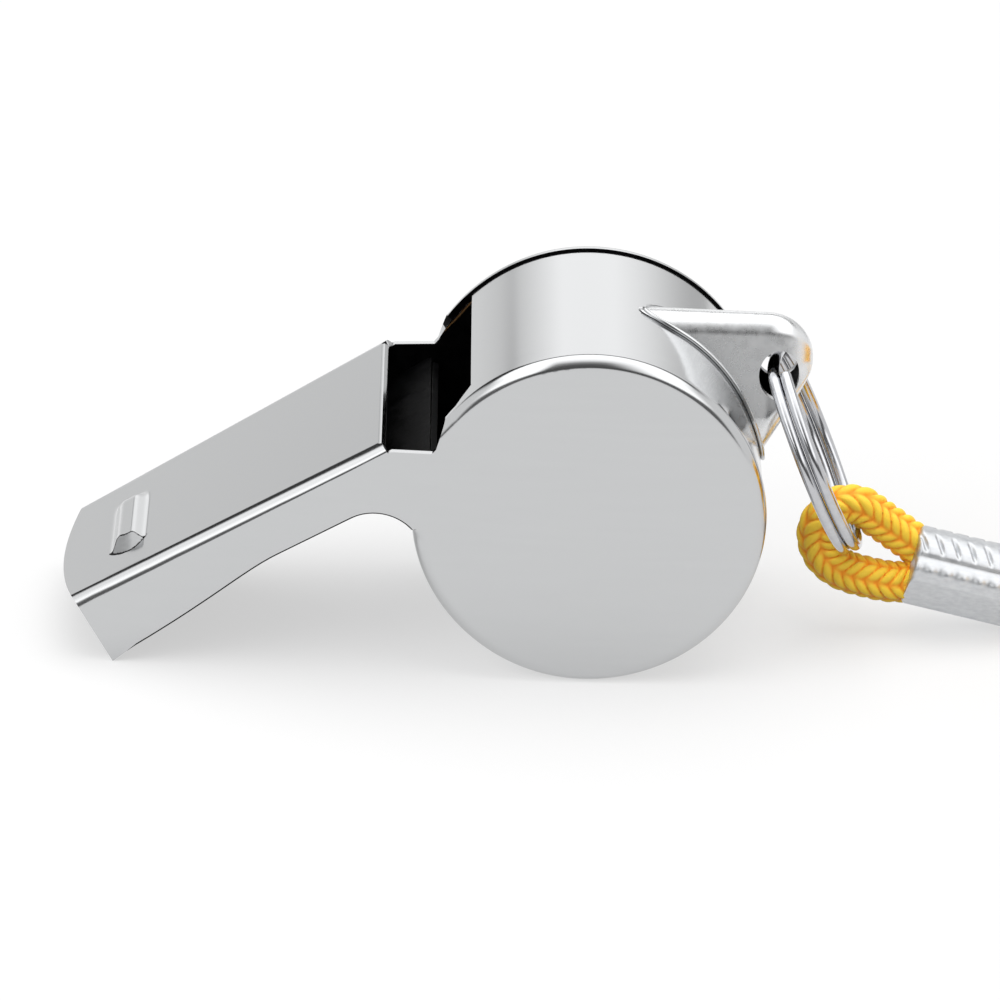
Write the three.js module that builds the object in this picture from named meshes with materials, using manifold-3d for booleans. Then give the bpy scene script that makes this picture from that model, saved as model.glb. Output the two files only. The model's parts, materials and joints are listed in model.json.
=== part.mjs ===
// Metal pea whistle with a split ring and a braided neck lanyard, put away as a tied hank.
// Millimetres, +Z up. The whistle lies as it rests: barrel and lip on the ground, mouthpiece towards -X.
import * as THREE from 'three';
import { mergeVertices } from 'three/addons/utils/BufferGeometryUtils.js';
import Module from 'manifold-3d';

const wasm = await Module();
wasm.setup();

// Driving dimensions: barrel
const BARREL_DIAMETER = 22;
const BARREL_WIDTH = 18.8;
const SHEET = 0.45;
const FIT_GAP = 0.15;
const RIM_WIDTH = 1;
const RIM_START_DEG = 145;
const RIM_END_DEG = -175.5;
const TOE_START_X = -3.3;
const TOE_SLOPE = 0.073;

// Driving dimensions: mouthpiece and window
const MOUTH_PITCH_DEG = 30.8;
const MOUTH_LENGTH = 22.2;
const LIP_BOW_RADIUS = 25;
const LIP_CORNER_INSET = 2;
const NECK_DEPTH = 3.37;
const LIP_DEPTH = 4.85;
const FLARE_START = 9.4;
const FLARE_EASE = 2.8;
const FLARE_BEND = 6.1;
const FLARE_RISE = 0.4;
const THROAT_RADIUS = 3;
const THROAT_SETBACK = 2.2;
const THROAT_END_DEG = 30;
const FOLD_RADIUS = 1;
const WINDOW_X = -12.9;
const WINDOW_SILL = 4.2;
const WINDOW_STEP = 0.9;
const FLOOR_INSET = 0.45;

// Driving dimensions: tooth grip pressed up out of the roof
const GRIP_FROM_WINDOW = 18.4;
const GRIP_LENGTH = 8;
const GRIP_WIDTH = 2.6;
const GRIP_HEIGHT = 0.9;

// Driving dimensions: band round the chamber, and the pea
const BAND_LEAD_DEG = 133.8;
const BAND_TAIL_DEG = -198;
const HORN_LENGTH = 2.1;
const HORN_WIDTH = 1.6;
const PEA_DIAMETER = 10.5;
const PEA_GAP = 0.3;

// Driving dimensions: pressed lug
const LUG_CREST = 10.3;
const LUG_NOSE_X = 13.75;
const LUG_NOSE_RADIUS = 2.9;
const LUG_TOP_RADIUS = 2.1;
const LUG_FOOT_HALF_WIDTH = 2.9;
const LUG_FOOT_HEIGHT = 4;
const LUG_HEEL_Z = 0.6;
const LUG_CHIN_DEG = -20;
const LUG_HOLE_DIAMETER = 3;
const LUG_HOLE_X = 11.75;
const LUG_HOLE_Z = 6.85;

// Driving dimensions: split ring
const RING_RADIUS = 6.6;
const RING_WIRE = 0.7;
const RING_WIRE_GAP = 0.45;
const RING_TILT_DEG = 23;
const RING_JOG_DEG = 60;

// Driving dimensions: lanyard
const CORD = 2.9;
const FERRULE_DIAMETER = 5.1;
const FERRULE_LENGTH = 7;
const FERRULE_SLOPE_DEG = 13.5;
const FERRULE_FRONT_X = 20.5;
const FERRULE_FRONT_Z = 4.4;
const STRAND_RISE = 1.25;
const STRAND_SPREAD = 1.15;
const STRAND_STRAIGHT = 1;
const JOINT_GAP = 0.3;
const HANK_TURNS = 7.75;
const HANK_CLIMBS = [1.5, 3.5, 5.5];
const CLIMB_TURN = 0.25;
const HANK_RUN = 28;
const HANK_FOLD = 5.8;
const HANK_STEP = 3.6;
const HANK_LAYER = 3.5;
const HANK_WAIST = 2.4;
const HANK_START_X = 56;
const TIE_WIDTH = 5;
const TIE_THICK = 0.5;
const TIE_REST = 0.02;

// Steps and sides of the round forms
const ARC_STEPS = 24;
const BEND_STEPS = 5;
const CORD_SIDES = 8;
const CORD_STEP_DIAMETERS = 0.8;
const CORD_LEAST_STEPS = 6;
const LOOP_SIDES = 6;
const RUN_STEPS = 4;
const FOLD_STEPS = 8;
const RING_STEP_DEG = 15;
const MERGE_TOLERANCE = 1e-5;

// Spare stock of forms that are cut back later, or that cut others
const FAR = 60;
const LIP_STOCK = 4;
const FLARE_STOCK = 2;
const HEEL_STOCK = 4;
const FOLD_STOCK = 1;
const BAND_CUT_STOCK = 2;

// Worked out from the driving dimensions
const axisZ = BARREL_DIAMETER / 2;
const rimRadius = BARREL_DIAMETER / 2;
const halfWidth = BARREL_WIDTH / 2;
const bandOuter = rimRadius - SHEET - FIT_GAP;
const bandInner = bandOuter - SHEET;
const pitch = THREE.MathUtils.degToRad(MOUTH_PITCH_DEG);
const roofZ = MOUTH_LENGTH * Math.sin(pitch) + LIP_DEPTH * Math.cos(pitch) - axisZ;

const rad = THREE.MathUtils.degToRad;

function polar(radius, degrees) {
  return new THREE.Vector2(radius * Math.cos(rad(degrees)), radius * Math.sin(rad(degrees)));
}

// A closed mesh as a solid that can be joined and cut
function toSolid(geometry) {
  const bare = geometry.index ? geometry.toNonIndexed() : geometry.clone();
  bare.deleteAttribute('normal');
  bare.deleteAttribute('uv');
  const merged = mergeVertices(bare, MERGE_TOLERANCE);
  return new wasm.Manifold(new wasm.Mesh({
    numProp: 3,
    vertProperties: new Float32Array(merged.attributes.position.array),
    triVerts: new Uint32Array(merged.index.array),
  }));
}

function toGeometry(solid) {
  const mesh = solid.getMesh();
  const geometry = new THREE.BufferGeometry();
  geometry.setAttribute('position', new THREE.BufferAttribute(new Float32Array(mesh.vertProperties), 3));
  geometry.setIndex(new THREE.BufferAttribute(new Uint32Array(mesh.triVerts), 1));
  geometry.computeVertexNormals();
  return geometry;
}

// Side view outline (x, height over the barrel's axis) drawn out across the whistle
function acrossY(shape, halfDepth = FAR) {
  const geometry = new THREE.ExtrudeGeometry(shape, {
    depth: 2 * halfDepth,
    bevelEnabled: false,
    curveSegments: ARC_STEPS,
  });
  geometry.rotateX(Math.PI / 2);
  geometry.translate(0, halfDepth, axisZ);
  return toSolid(geometry);
}

// Plan view outline (x, y) drawn out upwards and downwards
function alongZ(shape) {
  const geometry = new THREE.ExtrudeGeometry(shape, {
    depth: 2 * FAR,
    bevelEnabled: false,
    curveSegments: ARC_STEPS,
  });
  geometry.translate(0, 0, -FAR);
  return toSolid(geometry);
}

// Front view outline (y, height over the barrel's axis) drawn out along the whistle
function alongX(shape) {
  const geometry = new THREE.ExtrudeGeometry(shape, {
    depth: 2 * FAR,
    bevelEnabled: false,
    curveSegments: ARC_STEPS / 2,
  });
  geometry.translate(0, 0, -FAR);
  geometry.applyMatrix4(new THREE.Matrix4().makeBasis(
    new THREE.Vector3(0, 1, 0),
    new THREE.Vector3(0, 0, 1),
    new THREE.Vector3(1, 0, 0),
  ));
  geometry.translate(0, 0, axisZ);
  return toSolid(geometry);
}

function disc(radius, x = 0, z = 0) {
  return new THREE.Shape().absarc(x, z, radius, 0, 2 * Math.PI);
}

// Space between the two side walls, both drawn in by inset; the walls toe in towards the lip
function betweenWalls(inset) {
  const wide = halfWidth - inset;
  const narrow = wide - TOE_SLOPE * (TOE_START_X + FAR);
  return alongZ(new THREE.Shape([
    new THREE.Vector2(FAR, -wide),
    new THREE.Vector2(FAR, wide),
    new THREE.Vector2(TOE_START_X, wide),
    new THREE.Vector2(-FAR, narrow),
    new THREE.Vector2(-FAR, -narrow),
    new THREE.Vector2(TOE_START_X, -wide),
  ]));
}

// Roof frame: u runs from the window to the lip, d is the depth below the roof's top face
function onRoof(u, d) {
  return new THREE.Vector2(
    WINDOW_X - u * Math.cos(pitch) + d * Math.sin(pitch),
    roofZ - u * Math.sin(pitch) - d * Math.cos(pitch),
  );
}

function roofMatrix() {
  const base = onRoof(0, 0);
  return new THREE.Matrix4()
    .makeBasis(
      new THREE.Vector3(-Math.cos(pitch), 0, -Math.sin(pitch)),
      new THREE.Vector3(0, -1, 0),
      new THREE.Vector3(-Math.sin(pitch), 0, Math.cos(pitch)),
    )
    .setPosition(base.x, 0, base.y + axisZ);
}

// Lower edge of a side wall from the lip to the throat, moved up by inset
function lowerEdge(inset) {
  const flare = new THREE.CubicBezierCurve(
    onRoof(MOUTH_LENGTH + FLARE_STOCK, LIP_DEPTH - inset),
    onRoof(FLARE_START + FLARE_BEND, LIP_DEPTH - FLARE_RISE - inset),
    onRoof(FLARE_START + FLARE_EASE, NECK_DEPTH - inset),
    onRoof(FLARE_START, NECK_DEPTH - inset),
  );
  return flare.getPoints(ARC_STEPS / 2);
}

// Lip seen square to the roof: a shallow bow, cut through roof and walls alike
function lipBow(recess) {
  const corner = halfWidth - LIP_CORNER_INSET;
  const sag = LIP_BOW_RADIUS - Math.sqrt(LIP_BOW_RADIUS ** 2 - corner ** 2);
  const nose = MOUTH_LENGTH + sag - recess;
  const reach = Math.asin(BARREL_WIDTH / LIP_BOW_RADIUS);
  const shape = new THREE.Shape();
  shape.moveTo(-FAR, -FAR / 2);
  shape.absarc(nose - LIP_BOW_RADIUS, 0, LIP_BOW_RADIUS, -reach, reach);
  shape.lineTo(-FAR, FAR / 2);
  const geometry = new THREE.ExtrudeGeometry(shape, {
    depth: 2 * FAR,
    bevelEnabled: false,
    curveSegments: ARC_STEPS,
  });
  geometry.translate(0, 0, -FAR);
  geometry.applyMatrix4(roofMatrix());
  return toSolid(geometry);
}

// Rings of points, each with as many, skinned into one closed body
function loft(rings) {
  const count = rings[0].length;
  const positions = rings.flat().flatMap((p) => [p.x, p.y, p.z]);
  const index = [];
  for (let i = 0; i + 1 < rings.length; i += 1) {
    for (let j = 0; j < count; j += 1) {
      const a = i * count + j;
      const b = i * count + ((j + 1) % count);
      index.push(a, b, b + count, a, b + count, a + count);
    }
  }
  const last = (rings.length - 1) * count;
  for (let j = 1; j + 1 < count; j += 1) {
    index.push(0, j + 1, j);
    index.push(last, last + j, last + j + 1);
  }
  const geometry = new THREE.BufferGeometry();
  geometry.setAttribute('position', new THREE.Float32BufferAttribute(positions, 3));
  geometry.setIndex(index);
  return geometry;
}

// A round section swept along points, its frame carried along without twist
function sweep(points, radius, sides) {
  const normal = new THREE.Vector3();
  const rings = points.map((p, i) => {
    const before = points[Math.max(i - 1, 0)];
    const after = points[Math.min(i + 1, points.length - 1)];
    const tangent = after.clone().sub(before).normalize();
    if (i === 0) {
      normal.set(0, 0, 1).addScaledVector(tangent, -tangent.z);
      if (normal.lengthSq() < 0.01) normal.set(0, 1, 0).addScaledVector(tangent, -tangent.y);
    }
    normal.addScaledVector(tangent, -normal.dot(tangent)).normalize();
    const side = tangent.clone().cross(normal);
    return Array.from({ length: sides }, (_, k) => {
      const turn = (2 * Math.PI * (k + 0.5)) / sides;
      return p.clone()
        .addScaledVector(normal, radius * Math.cos(turn))
        .addScaledVector(side, radius * Math.sin(turn));
    });
  });
  return loft(rings);
}

// The corner stock outside a rounded fold, along one roof edge
function foldCorner(sign) {
  const matrix = roofMatrix();
  const wallAt = (u, d) => halfWidth - TOE_SLOPE * (TOE_START_X - onRoof(u, d).x);
  const ring = (u) => {
    const inner = wallAt(u, 0) - FOLD_RADIUS;
    const lean = wallAt(u, FOLD_RADIUS) - wallAt(u, 0);
    const outline = [];
    for (let i = 0; i <= BEND_STEPS; i += 1) {
      const turn = (Math.PI / 2) * (i / BEND_STEPS);
      const across = inner + (FOLD_RADIUS + lean) * Math.sin(turn);
      outline.push([across, -FOLD_RADIUS * (1 - Math.cos(turn))]);
    }
    outline.push([wallAt(u, FOLD_RADIUS) + FOLD_STOCK, -FOLD_RADIUS]);
    outline.push([wallAt(u, 0) + FOLD_STOCK, FOLD_STOCK]);
    outline.push([inner, FOLD_STOCK]);
    const points = outline.map(([v, n]) => new THREE.Vector3(u, sign * v, n).applyMatrix4(matrix));
    return sign > 0 ? points : points.reverse();
  };
  return toSolid(loft([ring(-FOLD_STOCK), ring(MOUTH_LENGTH + LIP_STOCK)]));
}

// Half round bar with sloped ends, pressed up out of the roof
function gripForm(sink) {
  const barRadius = (GRIP_WIDTH ** 2 / 4 + GRIP_HEIGHT ** 2) / (2 * GRIP_HEIGHT);
  const bar = new THREE.CylinderGeometry(barRadius, barRadius, GRIP_LENGTH, ARC_STEPS);
  bar.translate(GRIP_FROM_WINDOW, 0, GRIP_HEIGHT - barRadius - sink);
  bar.applyMatrix4(roofMatrix());
  const half = GRIP_LENGTH / 2;
  const ends = new THREE.ExtrudeGeometry(new THREE.Shape([
    new THREE.Vector2(-half, -SHEET - sink),
    new THREE.Vector2(half, -SHEET - sink),
    new THREE.Vector2(half, -sink),
    new THREE.Vector2(half - GRIP_HEIGHT, GRIP_HEIGHT - sink),
    new THREE.Vector2(GRIP_HEIGHT - half, GRIP_HEIGHT - sink),
    new THREE.Vector2(-half, -sink),
  ]), { depth: 2 * GRIP_WIDTH, bevelEnabled: false });
  ends.translate(0, 0, -GRIP_WIDTH);
  ends.applyMatrix4(new THREE.Matrix4().makeBasis(
    new THREE.Vector3(0, 1, 0),
    new THREE.Vector3(0, 0, 1),
    new THREE.Vector3(1, 0, 0),
  ));
  ends.translate(GRIP_FROM_WINDOW, 0, 0);
  ends.applyMatrix4(roofMatrix());
  return toSolid(bar).intersect(toSolid(ends));
}

// Side view of roof and side walls, with the throat's round rising to the barrel
function mouthOutline() {
  const neck = onRoof(FLARE_START, NECK_DEPTH);
  const crestX = -rimRadius - THROAT_SETBACK;
  const rise = (crestX - THROAT_RADIUS * Math.sin(pitch) - neck.x) * Math.tan(pitch);
  const centreZ = neck.y + rise - THROAT_RADIUS * Math.cos(pitch);
  const start = onRoof(0, 0);
  const roofEnd = onRoof(MOUTH_LENGTH + LIP_STOCK, 0);
  const lipFoot = onRoof(MOUTH_LENGTH + LIP_STOCK, LIP_DEPTH);
  const shape = new THREE.Shape();
  shape.moveTo(start.x, start.y);
  shape.lineTo(roofEnd.x, roofEnd.y);
  shape.lineTo(lipFoot.x, lipFoot.y);
  lowerEdge(0).forEach((p) => shape.lineTo(p.x, p.y));
  shape.absarc(crestX, centreZ, THROAT_RADIUS, Math.PI / 2 + pitch, rad(THROAT_END_DEG), true);
  shape.lineTo(TOE_START_X, centreZ);
  shape.lineTo(TOE_START_X, WINDOW_SILL);
  shape.lineTo(WINDOW_X, WINDOW_SILL);
  return shape;
}

function upperShell() {
  const walls = acrossY(disc(rimRadius)).add(acrossY(mouthOutline()).intersect(lipBow(0)));
  const block = walls.intersect(betweenWalls(0)).subtract(foldCorner(1)).subtract(foldCorner(-1));
  const mouthHollow = acrossY(new THREE.Shape([
    onRoof(-HEEL_STOCK, SHEET),
    onRoof(MOUTH_LENGTH + 2 * LIP_STOCK, SHEET),
    new THREE.Vector2(-FAR, -FAR / 2),
    new THREE.Vector2(-rimRadius - SHEET, -FAR / 2),
    polar(rimRadius + SHEET, RIM_END_DEG),
    polar(bandInner, RIM_END_DEG),
  ]));
  const inside = acrossY(disc(rimRadius - SHEET)).add(mouthHollow).intersect(betweenWalls(SHEET));
  const bandSlot = acrossY(disc(rimRadius + SHEET)).intersect(betweenWalls(RIM_WIDTH));
  const openSide = new THREE.Shape();
  openSide.moveTo(0, 0);
  openSide.absarc(0, 0, rimRadius + SHEET, rad(RIM_START_DEG), rad(RIM_END_DEG + 360));
  const rimGap = acrossY(openSide).intersect(betweenWalls(SHEET));
  const rimTop = polar(rimRadius, RIM_START_DEG);
  const windowNotch = acrossY(new THREE.Shape([
    new THREE.Vector2(WINDOW_X + SHEET, WINDOW_SILL),
    new THREE.Vector2(rimTop.x - WINDOW_STEP, WINDOW_SILL),
    rimTop,
    new THREE.Vector2(WINDOW_X + SHEET, rimRadius),
  ]));
  return block.subtract(inside)
    .subtract(bandSlot)
    .subtract(rimGap)
    .subtract(windowNotch)
    .add(gripForm(0))
    .subtract(gripForm(SHEET));
}

function barrelBand() {
  const ring = new THREE.Shape();
  ring.absarc(0, 0, bandOuter, rad(RIM_START_DEG), rad(BAND_TAIL_DEG), true);
  ring.absarc(0, 0, bandInner, rad(BAND_TAIL_DEG), rad(RIM_START_DEG), false);
  const band = acrossY(ring).intersect(betweenWalls(SHEET + FIT_GAP));
  const side = halfWidth - RIM_WIDTH - TOE_SLOPE * (TOE_START_X - polar(bandOuter, BAND_LEAD_DEG).x);
  const cut = new THREE.ExtrudeGeometry(new THREE.Shape([
    new THREE.Vector2(0, -side + HORN_WIDTH),
    new THREE.Vector2(HORN_LENGTH, -side),
    new THREE.Vector2(2 * HORN_LENGTH, -side),
    new THREE.Vector2(2 * HORN_LENGTH, side),
    new THREE.Vector2(HORN_LENGTH, side),
    new THREE.Vector2(0, side - HORN_WIDTH),
  ]), { depth: rimRadius, bevelEnabled: false });
  const out = polar(1, BAND_LEAD_DEG);
  const along = polar(1, BAND_LEAD_DEG + 90);
  const top = polar(bandInner - BAND_CUT_STOCK + rimRadius, BAND_LEAD_DEG);
  cut.applyMatrix4(new THREE.Matrix4()
    .makeBasis(
      new THREE.Vector3(along.x, 0, along.y),
      new THREE.Vector3(0, 1, 0),
      new THREE.Vector3(-out.x, 0, -out.y),
    )
    .setPosition(top.x, 0, top.y + axisZ));
  return band.subtract(toSolid(cut));
}

// Floor of the windway: a plate between the side walls, from the lip to the front of the chamber
function windwayFloor() {
  const upper = lowerEdge(FLOOR_INSET + SHEET);
  const lower = lowerEdge(FLOOR_INSET);
  const heelTop = onRoof(-HEEL_STOCK, NECK_DEPTH - FLOOR_INSET - SHEET);
  const heelUnder = onRoof(-HEEL_STOCK, NECK_DEPTH - FLOOR_INSET);
  const outline = [...lower, heelUnder, heelTop, ...upper.reverse()];
  return acrossY(new THREE.Shape(outline))
    .intersect(betweenWalls(SHEET + FIT_GAP))
    .intersect(lipBow(SHEET))
    .subtract(acrossY(disc(bandOuter + FIT_GAP)));
}

function pea() {
  const radius = PEA_DIAMETER / 2;
  const geometry = new THREE.SphereGeometry(radius, ARC_STEPS, ARC_STEPS / 2);
  geometry.translate(0, 0, axisZ - bandInner + PEA_GAP + radius);
  return toSolid(geometry);
}

// Pressed hood: an upturned U in front view, a rounded nose in side and plan view, thinned by inset
function lugForm(inset) {
  const topRadius = LUG_TOP_RADIUS - inset;
  const foot = LUG_FOOT_HALF_WIDTH - inset;
  const hood = new THREE.Shape();
  hood.moveTo(-foot, LUG_FOOT_HEIGHT);
  hood.lineTo(-foot, -rimRadius);
  hood.lineTo(foot, -rimRadius);
  hood.lineTo(foot, LUG_FOOT_HEIGHT);
  hood.absarc(0, LUG_CREST - LUG_TOP_RADIUS, topRadius, 0, Math.PI);
  const nose = LUG_NOSE_RADIUS - inset;
  const noseX = LUG_NOSE_X - LUG_NOSE_RADIUS;
  const noseZ = LUG_CREST - LUG_NOSE_RADIUS;
  const side = new THREE.Shape();
  side.moveTo(0, LUG_CREST - inset);
  side.lineTo(0, LUG_HEEL_Z + inset);
  side.lineTo(bandOuter + FIT_GAP, LUG_HEEL_Z + inset);
  side.absarc(noseX, noseZ, nose, rad(LUG_CHIN_DEG), Math.PI / 2);
  const plan = new THREE.Shape();
  plan.moveTo(0, foot);
  plan.lineTo(0, -foot);
  plan.absarc(LUG_NOSE_X - LUG_FOOT_HALF_WIDTH, 0, foot, -Math.PI / 2, Math.PI / 2);
  return alongX(hood).intersect(acrossY(side)).intersect(alongZ(plan));
}

function lanyardLug() {
  const hole = acrossY(disc(LUG_HOLE_DIAMETER / 2, LUG_HOLE_X, LUG_HOLE_Z));
  const seat = acrossY(disc(bandOuter + FIT_GAP));
  return lugForm(0).subtract(lugForm(SHEET)).subtract(hole).subtract(seat);
}

// Split ring: almost two turns of wire side by side, with one jog from the first turn to the second
function ringPoints() {
  const tilt = rad(RING_TILT_DEG);
  const down = new THREE.Vector3(Math.sin(tilt), 0, -Math.cos(tilt));
  const out = new THREE.Vector3(Math.cos(tilt), 0, Math.sin(tilt));
  const wall = LUG_FOOT_HALF_WIDTH - SHEET;
  const drop = Math.sqrt(RING_RADIUS ** 2 - wall ** 2);
  const centre = new THREE.Vector3(LUG_HOLE_X, 0, LUG_HOLE_Z + axisZ).addScaledVector(down, drop);
  const shift = (RING_WIRE + RING_WIRE_GAP) / 2;
  const points = [];
  const first = RING_JOG_DEG / 2;
  for (let a = first; a <= 720 - first; a += RING_STEP_DEG) {
    const jog = THREE.MathUtils.smoothstep(a, 360 - first, 360 + first);
    points.push(centre.clone()
      .addScaledVector(down, RING_RADIUS * Math.sin(rad(a)))
      .addScaledVector(new THREE.Vector3(0, 1, 0), RING_RADIUS * Math.cos(rad(a)))
      .addScaledVector(out, shift * (2 * jog - 1)));
  }
  return points;
}

// Least clear distance between stretches of one tube that aren't neighbours along it
function leastGap(points, diameter) {
  let least = Infinity;
  const near = 3 * diameter;
  const run = [0];
  points.forEach((p, i) => i && run.push(run[i - 1] + p.distanceTo(points[i - 1])));
  for (let i = 0; i < points.length; i += 1) {
    for (let j = i + 1; j < points.length; j += 1) {
      if (run[j] - run[i] > near) least = Math.min(least, points[i].distanceTo(points[j]));
    }
  }
  return least - diameter;
}

function resample(points, spacing) {
  const fine = [];
  for (let i = 0; i + 1 < points.length; i += 1) {
    const parts = Math.max(1, Math.round(points[i].distanceTo(points[i + 1]) / spacing));
    for (let k = 0; k < parts; k += 1) fine.push(points[i].clone().lerp(points[i + 1], k / parts));
  }
  return fine;
}

// Cord tube through hand-chosen points
function cordTube(points) {
  const path = new THREE.CatmullRomCurve3(points);
  const section = new THREE.Shape();
  for (let k = 0; k < CORD_SIDES; k += 1) {
    const corner = polar(CORD / 2, (360 * (k + 0.5)) / CORD_SIDES);
    if (k === 0) section.moveTo(corner.x, corner.y);
    else section.lineTo(corner.x, corner.y);
  }
  section.closePath();
  const steps = Math.max(CORD_LEAST_STEPS, Math.round(path.getLength() / (CORD_STEP_DIAMETERS * CORD)));
  return toSolid(new THREE.ExtrudeGeometry(section, { extrudePath: path, steps, bevelEnabled: false }));
}

// Ferrule axis: from the cord eye down towards the ground
const ferruleDir = new THREE.Vector3(Math.cos(rad(FERRULE_SLOPE_DEG)), 0, -Math.sin(rad(FERRULE_SLOPE_DEG)));
const ferruleUp = new THREE.Vector3(Math.sin(rad(FERRULE_SLOPE_DEG)), 0, Math.cos(rad(FERRULE_SLOPE_DEG)));
const ferruleFront = new THREE.Vector3(FERRULE_FRONT_X, 0, FERRULE_FRONT_Z);
const ferruleBack = ferruleFront.clone().addScaledVector(ferruleDir, FERRULE_LENGTH);

function crimpFerrule() {
  const geometry = new THREE.CylinderGeometry(
    FERRULE_DIAMETER / 2, FERRULE_DIAMETER / 2, FERRULE_LENGTH, ARC_STEPS,
  );
  geometry.rotateZ(-Math.PI / 2);
  geometry.rotateY(rad(FERRULE_SLOPE_DEG));
  const middle = ferruleFront.clone().add(ferruleBack).multiplyScalar(0.5);
  geometry.translate(middle.x, middle.y, middle.z);
  return toSolid(geometry);
}

// The two strands leave a ferrule face side by side, one above the other and a little apart across
function strandAt(face, away, sign) {
  return face.clone()
    .addScaledVector(ferruleDir, away)
    .addScaledVector(ferruleUp, sign * STRAND_RISE)
    .add(new THREE.Vector3(0, sign * STRAND_SPREAD, 0));
}

function cordEye() {
  return cordTube([
    strandAt(ferruleFront, -JOINT_GAP, 1),
    strandAt(ferruleFront, -JOINT_GAP - STRAND_STRAIGHT, 1),
    new THREE.Vector3(17.9, 0.9, 8.4),
    new THREE.Vector3(16, 0.5, 8.9),
    new THREE.Vector3(14.2, 0, 6.4),
    new THREE.Vector3(15.4, -0.5, 3.7),
    new THREE.Vector3(17.4, -0.9, 2.9),
    strandAt(ferruleFront, -JOINT_GAP - STRAND_STRAIGHT, -1),
    strandAt(ferruleFront, -JOINT_GAP, -1),
  ]);
}

// Hank: loops that spiral in and out through four layers, drawn in at the waist
function hankPoints() {
  const low = TIE_THICK + TIE_REST + JOINT_GAP + CORD / 2;
  const starts = [0, ...HANK_CLIMBS.map((climb) => climb + CLIMB_TURN)];
  const ends = [...HANK_CLIMBS, HANK_TURNS];
  const spiral = (t) => starts.reduce((sum, from, i) => {
    const wound = THREE.MathUtils.clamp(t, from, ends[i]) - from;
    return i % 2 === 0 ? sum - wound : sum + wound;
  }, HANK_CLIMBS[0]);
  const layer = (t) => HANK_CLIMBS.reduce(
    (sum, climb) => sum + THREE.MathUtils.smoothstep(t, climb, climb + CLIMB_TURN),
    0,
  );
  const points = [];
  const place = (t) => {
    const quarter = Math.floor((t % 1) * 4 + 1e-9);
    const along = (t % 1) * 4 - quarter;
    const reach = HANK_FOLD + HANK_STEP * spiral(t);
    const rise = low + HANK_LAYER * layer(t);
    const middle = HANK_START_X + HANK_RUN / 2;
    if (quarter % 2 === 0) {
      const sign = quarter === 0 ? 1 : -1;
      const waist = HANK_WAIST * Math.sin(Math.PI * along) ** 2;
      return new THREE.Vector3(middle + sign * HANK_RUN * (along - 0.5), sign * (reach - waist), rise);
    }
    const sign = quarter === 1 ? 1 : -1;
    const turn = Math.PI * along;
    return new THREE.Vector3(
      middle + sign * (HANK_RUN / 2 + reach * Math.sin(turn)),
      sign * reach * Math.cos(turn),
      rise,
    );
  };
  for (let quarter = 0; quarter < HANK_TURNS * 4; quarter += 1) {
    const parts = quarter % 2 === 0 ? RUN_STEPS : FOLD_STEPS;
    for (let k = 0; k < parts; k += 1) points.push(place((quarter + k / parts) / 4));
  }
  points.push(place(HANK_TURNS - 1e-7));
  return points;
}

const hank = hankPoints();

// Lead from the ferrule's back face to one end of the hank
function cordLead(sign, hankEnd) {
  const from = strandAt(ferruleBack, JOINT_GAP, sign);
  const to = hankEnd.clone().add(new THREE.Vector3(-JOINT_GAP, 0, 0));
  const foldEnd = Math.min(...hank.map((p) => p.x)) - CORD / 2;
  const inner = (share) => from.clone().lerp(new THREE.Vector3(foldEnd, to.y, to.z), share);
  return cordTube([
    from,
    from.clone().addScaledVector(ferruleDir, CORD / 2),
    inner(0.5),
    inner(0.9),
    new THREE.Vector3(foldEnd + CORD, to.y, to.z),
    to.clone().add(new THREE.Vector3(-CORD, 0, 0)),
    to,
  ]);
}

// Flat tie round the hank's waist
function hankTie() {
  const middle = HANK_START_X + HANK_RUN / 2;
  const slack = 2 * JOINT_GAP + CORD / 2;
  const waist = hank.filter((p) => Math.abs(p.x - middle) < TIE_WIDTH);
  const wide = Math.max(...waist.map((p) => Math.abs(p.y))) + slack;
  const top = Math.max(...waist.map((p) => p.z)) + slack;
  const outline = (grow) => {
    const shape = new THREE.Shape();
    const corner = CORD / 2 + grow;
    const w = wide + grow;
    const h = top + grow;
    const base = TIE_REST + TIE_THICK - grow;
    shape.absarc(w - corner, h - corner, corner, 0, Math.PI / 2);
    shape.absarc(corner - w, h - corner, corner, Math.PI / 2, Math.PI);
    shape.absarc(corner - w, base + corner, corner, Math.PI, 1.5 * Math.PI);
    shape.absarc(w - corner, base + corner, corner, 1.5 * Math.PI, 2 * Math.PI);
    return shape;
  };
  const band = outline(TIE_THICK);
  band.holes.push(outline(0));
  const geometry = new THREE.ExtrudeGeometry(band, { depth: TIE_WIDTH, bevelEnabled: false, curveSegments: 3 });
  geometry.applyMatrix4(new THREE.Matrix4().makeBasis(
    new THREE.Vector3(0, 1, 0),
    new THREE.Vector3(0, 0, 1),
    new THREE.Vector3(1, 0, 0),
  ));
  geometry.translate(middle - TIE_WIDTH / 2, 0, 0);
  return toSolid(geometry);
}

const steel = new THREE.MeshStandardMaterial({ color: 0xc4c6c8, roughness: 0.18, metalness: 1 });
const ringSteel = new THREE.MeshStandardMaterial({ color: 0xb4b6b8, roughness: 0.2, metalness: 1 });
const cork = new THREE.MeshStandardMaterial({ color: 0x9c7246, roughness: 0.9, metalness: 0 });
const braid = new THREE.MeshStandardMaterial({ color: 0xf0a51e, roughness: 0.8, metalness: 0 });
const tin = new THREE.MeshStandardMaterial({ color: 0xc9cbce, roughness: 0.3, metalness: 1 });
const tape = new THREE.MeshStandardMaterial({ color: 0x2c2c2e, roughness: 0.7, metalness: 0 });

function piece(name, solid, material) {
  const mesh = new THREE.Mesh(toGeometry(solid), material);
  mesh.name = name;
  return mesh;
}

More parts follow.
